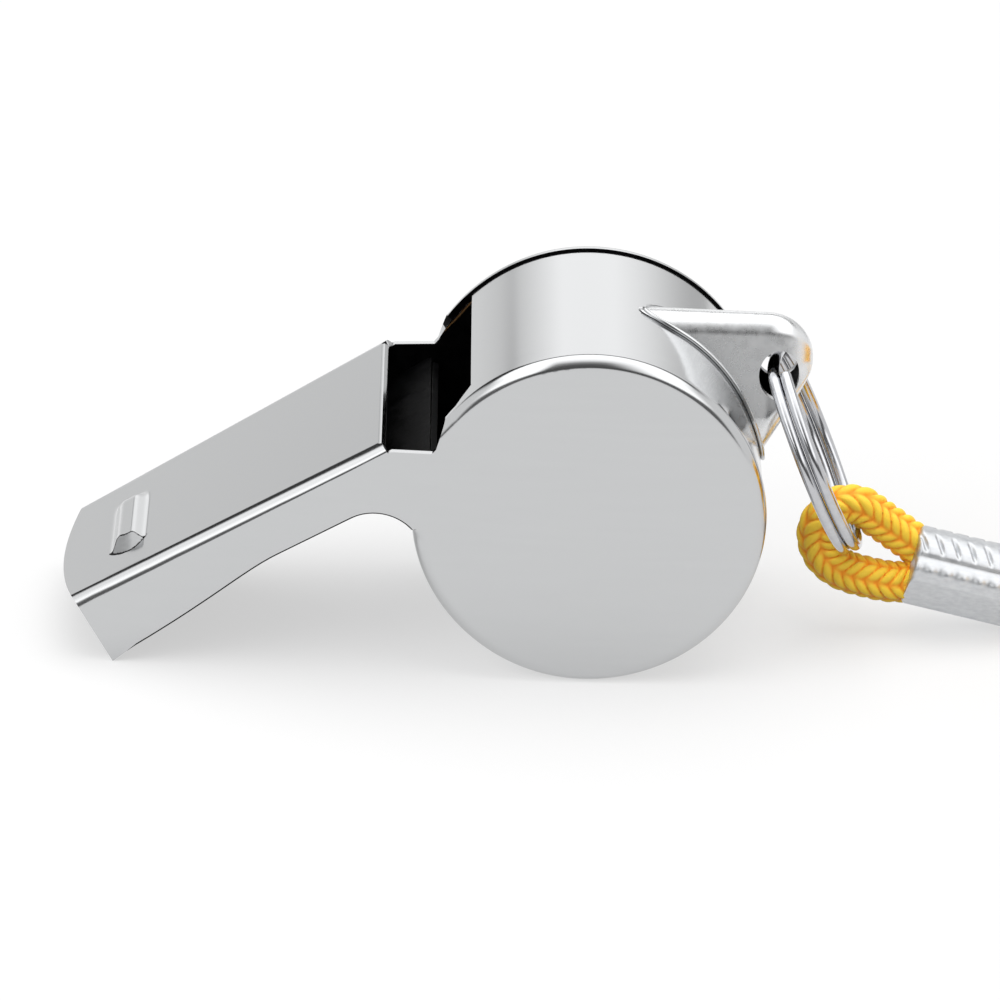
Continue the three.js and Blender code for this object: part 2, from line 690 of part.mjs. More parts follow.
const ring = ringPoints();
const ringFine = resample(ring, RING_WIRE / 3);
console.log('split ring least gap', leastGap(ringFine, RING_WIRE).toFixed(2));
const hankFine = resample(hank, CORD / 4);
console.log('hank least gap', leastGap(hankFine, CORD).toFixed(2));

const whistle = new THREE.Group();
whistle.add(piece('upper_shell', upperShell(), steel));
whistle.add(piece('barrel_band', barrelBand(), steel));
whistle.add(piece('windway_floor', windwayFloor(), steel));
whistle.add(piece('pea', pea(), cork));
whistle.add(piece('lanyard_lug', lanyardLug(), steel));
whistle.add(piece('split_ring', toSolid(sweep(ring, RING_WIRE / 2, CORD_SIDES)), ringSteel));

const lanyard = new THREE.Group();
lanyard.add(piece('cord_eye', cordEye(), braid));
lanyard.add(piece('crimp_ferrule', crimpFerrule(), tin));
lanyard.add(piece('cord_lead_upper', cordLead(1, hank[0]), braid));
lanyard.add(piece('cord_lead_lower', cordLead(-1, hank[hank.length - 1]), braid));
lanyard.add(piece('cord_hank', toSolid(sweep(hank, CORD / 2, LOOP_SIDES)), braid));
lanyard.add(piece('hank_tie', hankTie(), tape));

// The origin is on the ground, under the middle of the whistle and its ring
const box = new THREE.Box3().setFromObject(whistle);
const assembly = new THREE.Group();
assembly.add(whistle, lanyard);
assembly.position.set(-(box.min.x + box.max.x) / 2, 0, 0);
assembly.updateMatrixWorld(true);
console.log('whistle length', (box.max.x - box.min.x).toFixed(2), 'origin shift', assembly.position.x.toFixed(3));

export default assembly;
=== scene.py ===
"""Looks of a polished pea whistle with a split ring and a braided neck lanyard.

Pieces are modelled in millimetres in the whistle's own design frame (barrel axis at X = 0, along Y),
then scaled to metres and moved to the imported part's frame.
"""
import json
import logging
import math
from contextlib import contextmanager
from dataclasses import dataclass, field
from enum import Enum
from typing import Callable, Iterator, Sequence

import bpy
from mathutils import Matrix, Vector


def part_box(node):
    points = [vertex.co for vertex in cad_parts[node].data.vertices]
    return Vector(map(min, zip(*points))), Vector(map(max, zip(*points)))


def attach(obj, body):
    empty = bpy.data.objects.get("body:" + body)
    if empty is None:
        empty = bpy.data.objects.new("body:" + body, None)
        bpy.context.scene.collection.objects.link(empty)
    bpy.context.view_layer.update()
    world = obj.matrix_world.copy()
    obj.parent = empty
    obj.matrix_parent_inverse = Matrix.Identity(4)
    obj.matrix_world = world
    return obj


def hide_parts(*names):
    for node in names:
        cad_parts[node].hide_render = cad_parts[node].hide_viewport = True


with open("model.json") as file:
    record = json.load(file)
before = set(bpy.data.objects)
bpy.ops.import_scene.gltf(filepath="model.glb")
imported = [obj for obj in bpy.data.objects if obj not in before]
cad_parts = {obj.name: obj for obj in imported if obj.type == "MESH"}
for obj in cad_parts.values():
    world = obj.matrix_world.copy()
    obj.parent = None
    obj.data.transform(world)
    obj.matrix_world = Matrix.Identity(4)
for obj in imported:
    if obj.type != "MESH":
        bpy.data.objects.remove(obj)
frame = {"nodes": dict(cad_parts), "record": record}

Piece = bpy.types.Object
Face = bpy.types.MeshPolygon
Tree = bpy.types.NodeTree
Socket = bpy.types.NodeSocket

LOG = logging.getLogger("whistle")
MM = 0.001
SAME_PLACE = 1e-3
NEAR = 0.01
SMOOTH_ANGLE = 40.0
SHARP_ANGLE = 55.0
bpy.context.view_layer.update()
JOINTS = {joint["name"]: joint for joint in frame["record"]["behaviour"]["joints"]}
AXIS_X, _, AXIS_Z = (value / MM for value in JOINTS["pea_orbit"]["pos_m"])


class Body(Enum):
    """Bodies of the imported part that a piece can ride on."""

    WHISTLE = "whistle"
    PEA = "pea"
    RING = "ring"
    LANYARD = "lanyard"


class Slot(Enum):
    """Material slots of the record."""

    STEEL = "steel"
    WIRE = "wire"
    CORK = "cork"
    BRAID = "braid"
    FERRULE = "ferrule"
    TIE = "tie"


# Modelling helpers


def clear_selection() -> None:
    """Leave object mode active with nothing selected."""
    if bpy.context.object and bpy.context.object.mode != "OBJECT":
        bpy.ops.object.mode_set(mode="OBJECT")
    bpy.ops.object.select_all(action="DESELECT")


def activate(piece: Piece) -> None:
    """Select one piece alone and make it the active one."""
    clear_selection()
    piece.select_set(True)
    bpy.context.view_layer.objects.active = piece


@contextmanager
def editing(piece: Piece, kind: str = "FACE") -> Iterator[None]:
    """Edit mode on one piece, in one kind of selection.

    Args:
        piece: the mesh object to edit.
        kind: VERT, EDGE or FACE.
    """
    activate(piece)
    bpy.ops.object.mode_set(mode="EDIT")
    bpy.ops.mesh.select_mode(type=kind)
    yield
    bpy.ops.object.mode_set(mode="OBJECT")


def pick_faces(piece: Piece, test: Callable[[Face], bool]) -> None:
    """Select just the faces that pass a test."""
    with editing(piece):
        bpy.ops.mesh.select_all(action="DESELECT")
    for face in piece.data.polygons:
        face.select = test(face)


def pick_sharp(piece: Piece) -> None:
    """Select just the sharp edges."""
    with editing(piece, "EDGE"):
        bpy.ops.mesh.select_all(action="DESELECT")
        bpy.ops.mesh.edges_select_sharp(sharpness=math.radians(SHARP_ANGLE))


def pick_edges(piece: Piece, test: Callable[[Vector, Vector], bool]) -> None:
    """Select just the edges whose two end points pass a test."""
    with editing(piece, "EDGE"):
        bpy.ops.mesh.select_all(action="DESELECT")
    spots = [vertex.co for vertex in piece.data.vertices]
    for edge in piece.data.edges:
        edge.select = test(spots[edge.vertices[0]], spots[edge.vertices[1]])


def add_outline(name: str, points: Sequence[Vector]) -> Piece:
    """A filled outline: a circle with as many corners, each moved to its place.

    Args:
        name: the piece's name.
        points: the outline's corners in order.

    Returns:
        The new object.
    """
    clear_selection()
    bpy.ops.mesh.primitive_circle_add(vertices=len(points), radius=1, fill_type="NGON")
    piece = bpy.context.object
    piece.name = name
    for vertex, point in zip(piece.data.vertices, points):
        vertex.co = point
    return piece


def add_grid(
    name: str, columns: int, rows: int, place: Callable[[float, float], Vector],
) -> Piece:
    """A sheet of quads shaped by a function of two shares from 0 to 1.

    Args:
        name: the piece's name.
        columns: quads along the first share.
        rows: quads along the second share.
        place: gives a point for the two shares.

    Returns:
        The new object.
    """
    clear_selection()
    bpy.ops.mesh.primitive_grid_add(x_subdivisions=columns, y_subdivisions=rows, size=1)
    piece = bpy.context.object
    piece.name = name
    for vertex in piece.data.vertices:
        vertex.co = place(vertex.co.x + 0.5, vertex.co.y + 0.5)
    return piece


def close_mesh(piece: Piece, gap: float = 1e-4) -> None:
    """Merge doubled points and turn all faces outwards."""
    with editing(piece):
        bpy.ops.mesh.select_all(action="SELECT")
        bpy.ops.mesh.remove_doubles(threshold=gap)
        bpy.ops.mesh.normals_make_consistent(inside=False)


def cap_ends(piece: Piece) -> None:
    """Fill the open ends of a skin and turn all faces outwards."""
    with editing(piece, "EDGE"):
        bpy.ops.mesh.select_all(action="DESELECT")
        bpy.ops.mesh.select_non_manifold()
        bpy.ops.mesh.edge_face_add()
        bpy.ops.mesh.select_all(action="SELECT")
        bpy.ops.mesh.normals_make_consistent(inside=False)


def slice_faces(
    piece: Piece,
    test: Callable[[Face], bool],
    point: Sequence[float],
    across: Sequence[float],
) -> None:
    """Cut the faces that pass a test along a plane.

    Args:
        piece: the mesh object to cut.
        test: says whether a face is cut.
        point: a point of the plane.
        across: the direction square to the plane.
    """
    pick_faces(piece, test)
    with editing(piece):
        bpy.ops.mesh.bisect(plane_co=point, plane_no=across, threshold=SAME_PLACE)


def round_edges(piece: Piece, width: float, segments: int = 2, clamp: bool = False) -> None:
    """Round the selected edges by a width, held back where they would meet if clamp is set."""
    with editing(piece, "EDGE"):
        bpy.ops.mesh.bevel(offset=width, segments=segments, profile=0.5, clamp_overlap=clamp)


def apply_modifier(piece: Piece, kind: str, **settings: object) -> None:
    """Add a modifier with its settings and apply it."""
    activate(piece)
    modifier = piece.modifiers.new(kind.lower(), kind)
    for key, value in settings.items():
        setattr(modifier, key, value)
    bpy.ops.object.modifier_apply(modifier=modifier.name)


def cut(piece: Piece, tool: Piece) -> None:
    """Cut a piece with a tool, and delete the tool."""
    apply_modifier(piece, "BOOLEAN", object=tool, operation="DIFFERENCE", solver="EXACT")
    bpy.data.objects.remove(tool, do_unlink=True)


def smooth(piece: Piece) -> None:
    """Smooth shading up to an angle, with flat faces kept flat by weighted normals."""
    activate(piece)
    bpy.ops.object.shade_smooth_by_angle(angle=math.radians(SMOOTH_ANGLE))
    apply_modifier(piece, "WEIGHTED_NORMAL", keep_sharp=True, weight=100)


def unit(value: float) -> float:
    """A value held between 0 and 1."""
    return min(max(value, 0.0), 1.0)


def soft_step(value: float) -> float:
    """A smooth rise from 0 to 1 over the values from 0 to 1."""
    share = unit(value)
    return share * share * (3 - 2 * share)


def both_sides(side: Sequence[Vector]) -> list[Vector]:
    """A row of points on the far side, carried back over the middle on the near side."""
    return [*side, *(Vector((point.x, -point.y, point.z)) for point in reversed(side[:-1]))]


def settle(piece: Piece, body: Body, slot: Slot, *nodes: str) -> Piece:
    """Move a piece from the design frame to the part's frame, and put it on its body.

    Args:
        piece: the modelled piece, in millimetres.
        body: the body it rides on.
        slot: the record's material slot; not used.
        nodes: the solids that it stands for.

    Returns:
        The same piece.
    """
    piece.data.transform(Matrix.Translation((AXIS_X * MM, 0, 0)) @ Matrix.Scale(MM, 4))
    piece.data.update()
    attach(piece, body.value)
    if nodes:
        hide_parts(*nodes)
    LOG.info("%s: %d faces", piece.name, len(piece.data.polygons))
    return piece


def smooth_route(points: Sequence[Vector], spacing: float) -> list[Vector]:
    """An even walk along a smooth curve through chosen points.

    Args:
        points: the chosen points.
        spacing: the step along the curve.

    Returns:
        Points at about that spacing, ends included.
    """
    padded = [2 * points[0] - points[1], *points, 2 * points[-1] - points[-2]]
    fine: list[Vector] = []
    for before, start, end, after in zip(padded, padded[1:], padded[2:], padded[3:]):
        parts = max(4, round(8 * (end - start).length / spacing))
        for step in range(parts):
            t = step / parts
            fine.append(0.5 * (
                2 * start + (end - before) * t
                + (2 * before - 5 * start + 4 * end - after) * t ** 2
                + (3 * start - before - 3 * end + after) * t ** 3
            ))
    fine.append(points[-1].copy())
    runs = [0.0]
    for first, second in zip(fine, fine[1:]):
        runs.append(runs[-1] + (second - first).length)
    count = max(2, round(runs[-1] / spacing))
    walk: list[Vector] = []
    index = 0
    for step in range(count + 1):
        run = runs[-1] * step / count
        while index + 2 < len(runs) and runs[index + 1] < run:
            index += 1
        share = (run - runs[index]) / max(runs[index + 1] - runs[index], 1e-9)
        walk.append(fine[index].lerp(fine[index + 1], share))
    return walk


def carried_frames(route: Sequence[Vector]) -> list[tuple[Vector, Vector]]:
    """Two square directions across a route at each point, carried along without twist."""
    frames: list[tuple[Vector, Vector]] = []
    normal = Vector((0, 0, 1))
    for index, _ in enumerate(route):
        ahead = route[min(index + 1, len(route) - 1)] - route[max(index - 1, 0)]
        ahead.normalize()
        normal = normal - normal.dot(ahead) * ahead
        if normal.length < 0.05:
            normal = Vector((0, 1, 0)) - ahead.y * ahead
        normal.normalize()
        frames.append((normal.copy(), ahead.cross(normal)))
    return frames


def add_tube(
    name: str,
    route: Sequence[Vector],
    sides: int,
    radius: Callable[[float, float], float],
    shade: Callable[[float, float], float] | None = None,
) -> Piece:
    """A closed tube along a route.

    Args:
        name: the piece's name.
        route: the evenly spaced centre line.
        sides: quads round the tube.
        radius: gives the radius for an angle in radians and a run along the route.
        shade: gives a value from 0 to 1 for the same two, kept in the layer named plait, which the braid's
            material turns into painted shade and painted highlight.

    Returns:
        The new object.
    """
    frames = carried_frames(route)
    step = (route[1] - route[0]).length
    last = len(route) - 1
    shades: list[float] = []

    def place(share: float, turn: float) -> Vector:
        """A point of the skin, with its shade noted."""
        index = round(share * last)
        angle = 2 * math.pi * turn
        out = frames[index][0] * math.cos(angle) + frames[index][1] * math.sin(angle)
        shades.append(shade(angle, index * step) if shade else 0.0)
        return route[index] + out * radius(angle, index * step)

    piece = add_grid(name, last, sides, place)
    if shade:
        layer = piece.data.attributes.new("plait", "FLOAT", "POINT")
        layer.data.foreach_set("value", shades)
    close_mesh(piece)
    cap_ends(piece)
    bpy.ops.object.shade_smooth_by_angle(angle=math.radians(60))
    return piece


# Materials


def linear(code: str) -> tuple[float, float, float, float]:
    """A colour in linear light from an sRGB hex code.

    Args:
        code: six hex digits.

    Returns:
        Red, green, blue and a full alpha.
    """
    values = []
    for start in (0, 2, 4):
        value = int(code[start:start + 2], 16) / 255
        values.append(value / 12.92 if value <= 0.04045 else ((value + 0.055) / 1.055) ** 2.4)
    return (values[0], values[1], values[2], 1.0)


def add_node(
    tree: Tree,
    kind: str,
    settings: dict[str, object] | None = None,
    links: dict[str, Socket] | None = None,
) -> bpy.types.Node:
    """One node with its settings and links.

    Args:
        tree: the material's or world's nodes.
        kind: the node's type.
        settings: input values by socket name, or properties by attribute name.
        links: output sockets to join, by input name.

    Returns:
        The new node.
    """
    node = tree.nodes.new(kind)
    for key, value in (settings or {}).items():
        if key in node.inputs:
            node.inputs[key].default_value = value
        else:
            setattr(node, key, value)
    for key, socket in (links or {}).items():
        tree.links.new(socket, node.inputs[int(key) if key.isdigit() else key])
    return node


@dataclass(frozen=True)
class Finish:
    """A surface: a base colour broken up by a pattern, with its gloss and relief."""

    name: str
    colour: str
    shade: str
    metallic: float
    roughness: float
    roughness_spread: float
    grain_mm: tuple[float, float, float]
    relief_mm: float
    sheen: float = 0.0
    layer: str = ""

    def make(self) -> bpy.types.Material:
        """The material, with a noise of the grain's size in colour, gloss and relief."""
        if self.name in bpy.data.materials:
            return bpy.data.materials[self.name]
        material = bpy.data.materials.new(self.name)
        material.use_nodes = True
        tree = material.node_tree
        tree.nodes.clear()
        spot = add_node(tree, "ShaderNodeTexCoord")
        stretch = add_node(
            tree, "ShaderNodeMapping",
            {"Scale": tuple(1 / (grain * MM) for grain in self.grain_mm)},
            {"Vector": spot.outputs["Object"]},
        )
        grain = add_node(
            tree, "ShaderNodeTexNoise", {"Scale": 1.0, "Detail": 4.0, "Roughness": 0.55},
            {"Vector": stretch.outputs["Vector"]},
        )
        tone = grain.outputs["Fac"]
        # A layer, where given, drives the tint: painted shade where it is low and painted highlight where
        # it is high.
        if self.layer:
            height = add_node(tree, "ShaderNodeAttribute", {"attribute_name": self.layer})
            tone = add_node(tree, "ShaderNodeMix", {"Factor": 0.25},
                            {"A": height.outputs["Fac"], "B": grain.outputs["Fac"]}).outputs["Result"]
        tint = add_node(tree, "ShaderNodeValToRGB", links={"Fac": tone})
        tint.color_ramp.elements[0].position = 0.35
        tint.color_ramp.elements[0].color = linear(self.shade)
        tint.color_ramp.elements[1].position = 0.65
        tint.color_ramp.elements[1].color = linear(self.colour)
        gloss = add_node(
            tree, "ShaderNodeMapRange",
            {"From Min": 0.3, "From Max": 0.7,
             "To Min": self.roughness - self.roughness_spread,
             "To Max": self.roughness + self.roughness_spread},
            {"Value": grain.outputs["Fac"]},
        )
        relief = add_node(
            tree, "ShaderNodeBump", {"Strength": 1.0, "Distance": self.relief_mm * MM},
            {"Height": grain.outputs["Fac"]},
        )
        shader = add_node(
            tree, "ShaderNodeBsdfPrincipled",
            {"Metallic": self.metallic, "Sheen Weight": self.sheen},
            {"Base Color": tint.outputs["Color"], "Roughness": gloss.outputs["Result"],
             "Normal": relief.outputs["Normal"]},
        )
        add_node(tree, "ShaderNodeOutputMaterial", links={"Surface": shader.outputs["BSDF"]})
        return material


def dress(piece: Piece, *finishes: Finish) -> None:
    """Give a piece its finishes, in the order of its material numbers."""
    for finish in finishes:
        piece.data.materials.append(finish.make())


# Pressed sheet, polished bright: a clear reflection that a faint polishing grain along X softens
POLISHED = Finish(
    "polished stainless steel", "c6c7c8", "c5c6c7", 1.0, 0.13, 0.004, (8.0, 0.5, 0.5), 0.000001)
# Painted shade: near-black steel for the sheet inside the chamber and for edges, gaps and hollows that lie
# in shade, so they give back almost no light
PAINTED_SHADE_STEEL = Finish("steel painted dark as shade", "1b1b1c", "0c0c0d", 1.0, 0.6, 0.1, (1.2, 1.2, 1.2), 0.004)
# The end of the tooth grip, which the polishing wheel passes over: satin, so it shows as a soft grey
SATIN = Finish("pressed satin steel", "a6a7a8", "9c9d9e", 1.0, 0.5, 0.05, (0.3, 0.3, 0.3), 0.0005)
# The pressed lug, too crooked for the wheel: polished less, so what it mirrors is blurred
PRESSED = Finish("pressed stainless steel", "e6e7e8", "dedfe0", 1.0, 0.29, 0.05, (0.6, 0.6, 0.6), 0.0008)
# Drawn spring wire: bright, with fine drawing lines
WIRE = Finish("drawn spring steel wire", "c6c7ca", "bebfc2", 1.0, 0.13, 0.02, (0.4, 0.4, 0.4), 0.0001)
# Crimped sleeve: soft bright metal that the crimping tool has scuffed
CRIMPED = Finish("crimped aluminium", "d3d5d7", "c6c8cb", 1.0, 0.42, 0.05, (0.5, 0.25, 0.25), 0.002)
# Agglomerated cork: warm brown granules with dark pores
CORK = Finish("agglomerated cork", "b98a55", "6d4a28", 0.0, 0.85, 0.08, (0.7, 0.7, 0.7), 0.08)
# Polyester braid: golden-orange yarn, with painted shade making the valleys deeper orange and painted
# highlight making the plaits golden, and a soft sheen off the filaments
BRAID = Finish(
    "braided polyester cord", "ffd43a", "ff9d0e", 0.0, 0.62, 0.08, (0.16, 0.16, 0.16), 0.02, 0.1, "plait")
# Woven tape of the tie: matt black
TAPE = Finish("woven nylon tape", "303033", "1d1d1f", 0.0, 0.8, 0.06, (0.3, 0.3, 0.3), 0.03, 0.1)


# The whistle's body


@dataclass(frozen=True)
class Sheetwork:
    """Sizes that the pressed sheets share, in millimetres and degrees."""

    radius: float = AXIS_Z
    half_width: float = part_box("upper_shell")[1][1] / MM
    sheet: float = 0.45
    fit_gap: float = 0.15
    rim_width: float = 1.0
    rim_fold: float = 0.8
    rim_start: float = 145.0
    rim_end: float = -174.0
    toe_start: float = -3.3
    toe_slope: float = 0.073
    toe_ease: float = 2.5
    pitch: float = math.radians(30.8)
    window_x: float = -12.9
    mouth_length: float = 22.2
    lip_depth: float = 4.85

    @property
    def band_radius(self) -> float:
        """Outer radius of the band under the rim flanges."""
        return self.radius - self.sheet - self.fit_gap

    @property
    def roof_z(self) -> float:
        """Height of the roof at the window, with the lip on the ground."""
        return self.mouth_length * math.sin(self.pitch) + self.lip_depth * math.cos(self.pitch)

    def on_roof(self, along: float, depth: float) -> Vector:
        """A point by its run from the window and its depth below the roof."""
        return Vector((
            self.window_x - along * math.cos(self.pitch) + depth * math.sin(self.pitch),
            0,
            self.roof_z - along * math.sin(self.pitch) - depth * math.cos(self.pitch),
        ))

    def roof_run(self, point: Vector) -> tuple[float, float]:
        """Run from the window and depth below the roof of a point."""
        x = point.x - self.window_x
        z = point.z - self.roof_z
        run = -x * math.cos(self.pitch) - z * math.sin(self.pitch)
        depth = x * math.sin(self.pitch) - z * math.cos(self.pitch)
        return run, depth

    def polar(self, radius: float, degrees: float, y: float = 0.0) -> Vector:
        """A point round the barrel's axis."""
        angle = math.radians(degrees)
        return Vector((radius * math.cos(angle), y, AXIS_Z + radius * math.sin(angle)))

    def reach(self, point: Vector) -> float:
        """A point's distance from the barrel's axis."""
        return math.hypot(point.x, point.z - AXIS_Z)

    def drawn(self, x: float) -> float:
        """Share of the full width that the toed-in walls leave at x."""
        return 1 - self.toe_in(x) / self.half_width

    def toe_in(self, x: float) -> float:
        """How far a side wall has drawn in at x, eased into its slope."""
        run = self.toe_start - x
        if run <= -self.toe_ease:
            return 0.0
        if run >= self.toe_ease:
            return self.toe_slope * run
        return self.toe_slope * (run + self.toe_ease) ** 2 / (4 * self.toe_ease)


SHEETWORK = Sheetwork()


@dataclass
class UpperShell:
    """One bent sheet: mouthpiece roof, side walls, cheeks and rim flanges."""

    work: Sheetwork = SHEETWORK
    roof_fold: float = 1.0
    lip_spare: float = 2.5
    lip_bow: float = 25.0
    lip_corner: float = 7.4
    neck_depth: float = 3.37
    flare_start: float = 9.4
    flare_end: float = 2.0
    flare_pulls: tuple[float, float] = (6.1, 2.8)
    flare_rise: float = 0.4
    lip_trim: float = 0.5
    throat_radius: float = 3.0
    throat_setback: float = 2.2
    throat_end: float = math.radians(43)
    curve_steps: int = 24
    throat_steps: int = 20
    sill: float = 4.2
    sill_step: float = 0.54
    sill_corner: tuple[float, float] = (0.25, 0.3)
    window_corner: float = 0.6
    roof_corner: tuple[float, float] = (0.15, 0.5)
    rim_relief: tuple[float, float] = (0.35, 1.2)
    grip_at: float = 18.26
    grip_half_length: float = 4.0
    grip_half_top: float = 0.36
    grip_lip_side: float = 1.2
    grip_window_side: float = 0.77
    grip_height: float = 0.64
    grip_fillet: float = 0.36
    grip_near: float = 4.3
    grip_end_slope: float = 0.52
    grip_end_skew: float = 0.25
    grip_end_bow: float = 1.1
    grip_fade: float = 1.8
    grip_margin: float = 0.1
    fine_cut: float = 0.06
    row_cut: float = 0.5
    fade_cut: float = 0.2
    run_cut: float = 1.5
    fine_reach: float = 2.0
    fold_cuts: tuple[int, int] = (10, 12)
    # Widths of the painted shade lines along the crest and the base of the rib's end
    crest_shade_line: float = 0.035
    base_shade_line: float = 0.035
    rim_step: int = 2
    toe_cuts: int = 8
    edge_round: float = 0.2
    under_round: float = 0.12
    window_round: float = 0.3

    def lower_edge(self) -> list[Vector]:
        """The side wall's lower edge from the lip to the neck."""
        work = self.work
        ends = [
            work.on_roof(work.mouth_length + self.flare_end, work.lip_depth),
            work.on_roof(self.flare_start + self.flare_pulls[0], work.lip_depth - self.flare_rise),
            work.on_roof(self.flare_start + self.flare_pulls[1], self.neck_depth),
            work.on_roof(self.flare_start, self.neck_depth),
        ]
        edge = []
        for step in range(self.curve_steps + 1):
            t = step / self.curve_steps
            shares = ((1 - t) ** 3, 3 * t * (1 - t) ** 2, 3 * t * t * (1 - t), t ** 3)
            edge.append(sum((share * end for share, end in zip(shares, ends)), Vector()))
        return [point for point in edge if work.roof_run(point)[0] < work.mouth_length - self.lip_trim]

    def throat(self) -> list[Vector]:
        """The round between the neck and the barrel, down to the rim."""
        work = self.work
        neck = work.on_roof(self.flare_start, self.neck_depth)
        crest_x = -work.radius - self.throat_setback
        rise = (crest_x - self.throat_radius * math.sin(work.pitch) - neck.x) * math.tan(work.pitch)
        centre = Vector((crest_x, 0, neck.z + rise - self.throat_radius * math.cos(work.pitch)))
        first = math.pi / 2 + work.pitch
        arc = []
        for step in range(self.throat_steps + 1):
            angle = first + (self.throat_end - first) * step / self.throat_steps
            arc.append(centre + self.throat_radius * Vector((math.cos(angle), 0, math.sin(angle))))
        return arc

    def outline(self) -> list[Vector]:
        """Side view of the whole sheet, from the rim's lower end round to the throat."""
        work = self.work
        sill_z = AXIS_Z + self.sill
        even = range(round(work.rim_end + self.rim_step), round(work.rim_start), self.rim_step)
        rim = [work.polar(work.radius, degrees) for degrees in (work.rim_end, *even, work.rim_start)]
        window = [
            Vector((rim[-1].x - self.sill_step, 0, sill_z + self.sill_corner[1])),
            Vector((rim[-1].x - self.sill_step - self.sill_corner[0], 0, sill_z)),
            Vector((work.window_x + self.window_corner, 0, sill_z)),
            work.on_roof(0, self.roof_corner[1]) + Vector((self.roof_corner[0], 0, 0)),
        ]
        mouth = [
            work.on_roof(0, 0),
            work.on_roof(work.mouth_length + self.lip_spare, 0),
            work.on_roof(work.mouth_length + self.lip_spare, work.lip_depth),
        ]
        relief = [work.polar(work.radius - self.rim_relief[0], work.rim_end - self.rim_relief[1])]
        return [*rim, *window, *mouth, *self.lower_edge(), *self.throat(), *relief]

    def eased(self, share: float) -> float:
        """A straight rise from 0 to 1 with a small round at both ends."""
        share = unit(share)
        fillet = self.grip_fillet
        if share < fillet:
            return share ** 2 / (2 * fillet * (1 - fillet))
        if share > 1 - fillet:
            return 1 - (1 - share) ** 2 / (2 * fillet * (1 - fillet))
        return (share - fillet / 2) / (1 - fillet)

    def rib_side(self, run: float) -> float:
        """Width of the rib's slope on the side of the lip or of the window."""
        return self.grip_lip_side if run > self.grip_at else self.grip_window_side

    def rib(self, run: float, y: float) -> float:
        """Height of the pressed rib, which fades out at its far end."""
        fall = self.eased((abs(run - self.grip_at) - self.grip_half_top) / self.rib_side(run))
        return self.grip_height * (1 - fall) * self.eased((self.grip_half_length - y) / self.grip_fade)

    def grip_end(self, run: float, y: float) -> float:
        """Height of the bowed slope that ends the rib on the near side."""
        aside = (run - self.grip_at) / (self.grip_half_top + self.rib_side(run))
        slope = self.grip_end_slope - self.grip_end_skew * aside
        return slope * (self.grip_near + y - self.grip_end_bow * aside ** 2)

    def grip(self, run: float, y: float) -> float:
        """Height of the tooth grip over the roof."""
        return max(min(self.rib(run, y), self.grip_end(run, y)), 0.0)

    def in_grip(self, point: Vector) -> bool:
        """Whether a point lies on the tooth grip."""
        run, depth = self.work.roof_run(point)
        reach = self.grip_half_top + self.grip_lip_side
        ends = self.grip_near + self.grip_margin
        return depth < 1 and abs(run - self.grip_at) < reach and abs(point.y) < ends

    def lip_run(self, y: float) -> float:
        """Where the bowed lip ends, as a run from the window."""
        sag = self.lip_bow - math.sqrt(self.lip_bow ** 2 - self.lip_corner ** 2)
        return self.work.mouth_length + sag - self.lip_bow + math.sqrt(self.lip_bow ** 2 - y ** 2)

    def build(self) -> Piece:
        """The finished sheet, polished outside, with painted shade inside."""
        work = self.work
        shell = add_outline("upper_shell_sheet", [
            point + Vector((0, -work.half_width, 0)) for point in self.outline()
        ])
        with editing(shell):
            bpy.ops.mesh.select_all(action="SELECT")
            bpy.ops.mesh.extrude_region_move(
                TRANSFORM_OT_translate={"value": (0, 2 * work.half_width, 0)})
            bpy.ops.mesh.select_all(action="SELECT")
            bpy.ops.mesh.normals_make_consistent(inside=False)
        self.fold_edges(shell)
        self.cut_for_toe(shell)
        self.shape_roof(shell)
        self.open_sheet(shell)
        # Material 1 on the inner faces is the near-black steel: painted shade inside the chamber.
        apply_modifier(shell, "SOLIDIFY", thickness=work.sheet, offset=-1, material_offset=1)
        self.round_cut_edges(shell)
        self.paint_edge_shade_and_grip_satin(shell)
        smooth(shell)
        dress(shell, POLISHED, PAINTED_SHADE_STEEL, SATIN)
        return settle(shell, Body.WHISTLE, Slot.STEEL, "upper_shell")

    def fold_edges(self, shell: Piece) -> None:
        """Round the folds beside the roof, and those between the cheeks and the rim."""
        work = self.work

        def on_side(point: Vector) -> bool:
            """Whether a point lies in a cheek's plane."""
            return abs(point.y) > work.half_width - NEAR

        def beside_roof(first: Vector, second: Vector) -> bool:
            """Whether an edge runs along the roof's side."""
            depth = max(abs(work.roof_run(point)[1]) for point in (first, second))
            return on_side(first) and depth < SAME_PLACE and (second - first).length > work.mouth_length

        def on_rim(first: Vector, second: Vector) -> bool:
            """Whether an edge lies between a cheek and the rim."""
            ends = (first, second)
            stray = max(abs(work.reach(point) - work.radius) for point in ends)
            return on_side(first) and on_side(second) and stray < NEAR and first.y * second.y > 0

        folds = ((beside_roof, self.roof_fold), (on_rim, work.rim_fold))
        for (test, width), cuts in zip(folds, self.fold_cuts):
            pick_edges(shell, test)
            round_edges(shell, width, cuts)

    def cut_for_toe(self, shell: Piece) -> None:
        """Cut the cheeks where they bend into the toed-in walls, and the rim where its flanges end."""
        work = self.work
        for step in range(1, self.toe_cuts + 1):
            place = work.polar(work.radius, 90 + 2 * step * self.rim_step)
            slice_faces(shell, lambda face: abs(face.normal.y) > 0.99, place, (1, 0, 0))
        for side in (-1, 1):
            place = (0, side * (work.half_width - work.rim_width), 0)
            slice_faces(shell, lambda face: abs(face.normal.y) < 0.01, place, (0, 1, 0))

    def shape_roof(self, shell: Piece) -> None:
        """Cut the roof finely, draw the walls in, press the tooth grip up and bow the lip."""
        work = self.work

        def on_roof(face: Face) -> bool:
            """Whether a face lies in the flat roof."""
            return abs(work.roof_run(face.center)[1]) < SAME_PLACE and face.normal.z > 0.8

        def on_roof_or_fold(face: Face) -> bool:
            """Whether a face lies in the roof or its folds."""
            high = work.roof_run(face.center)[1] < self.roof_fold + NEAR
            return high and face.normal.z > 0.02 and face.center.x < work.window_x

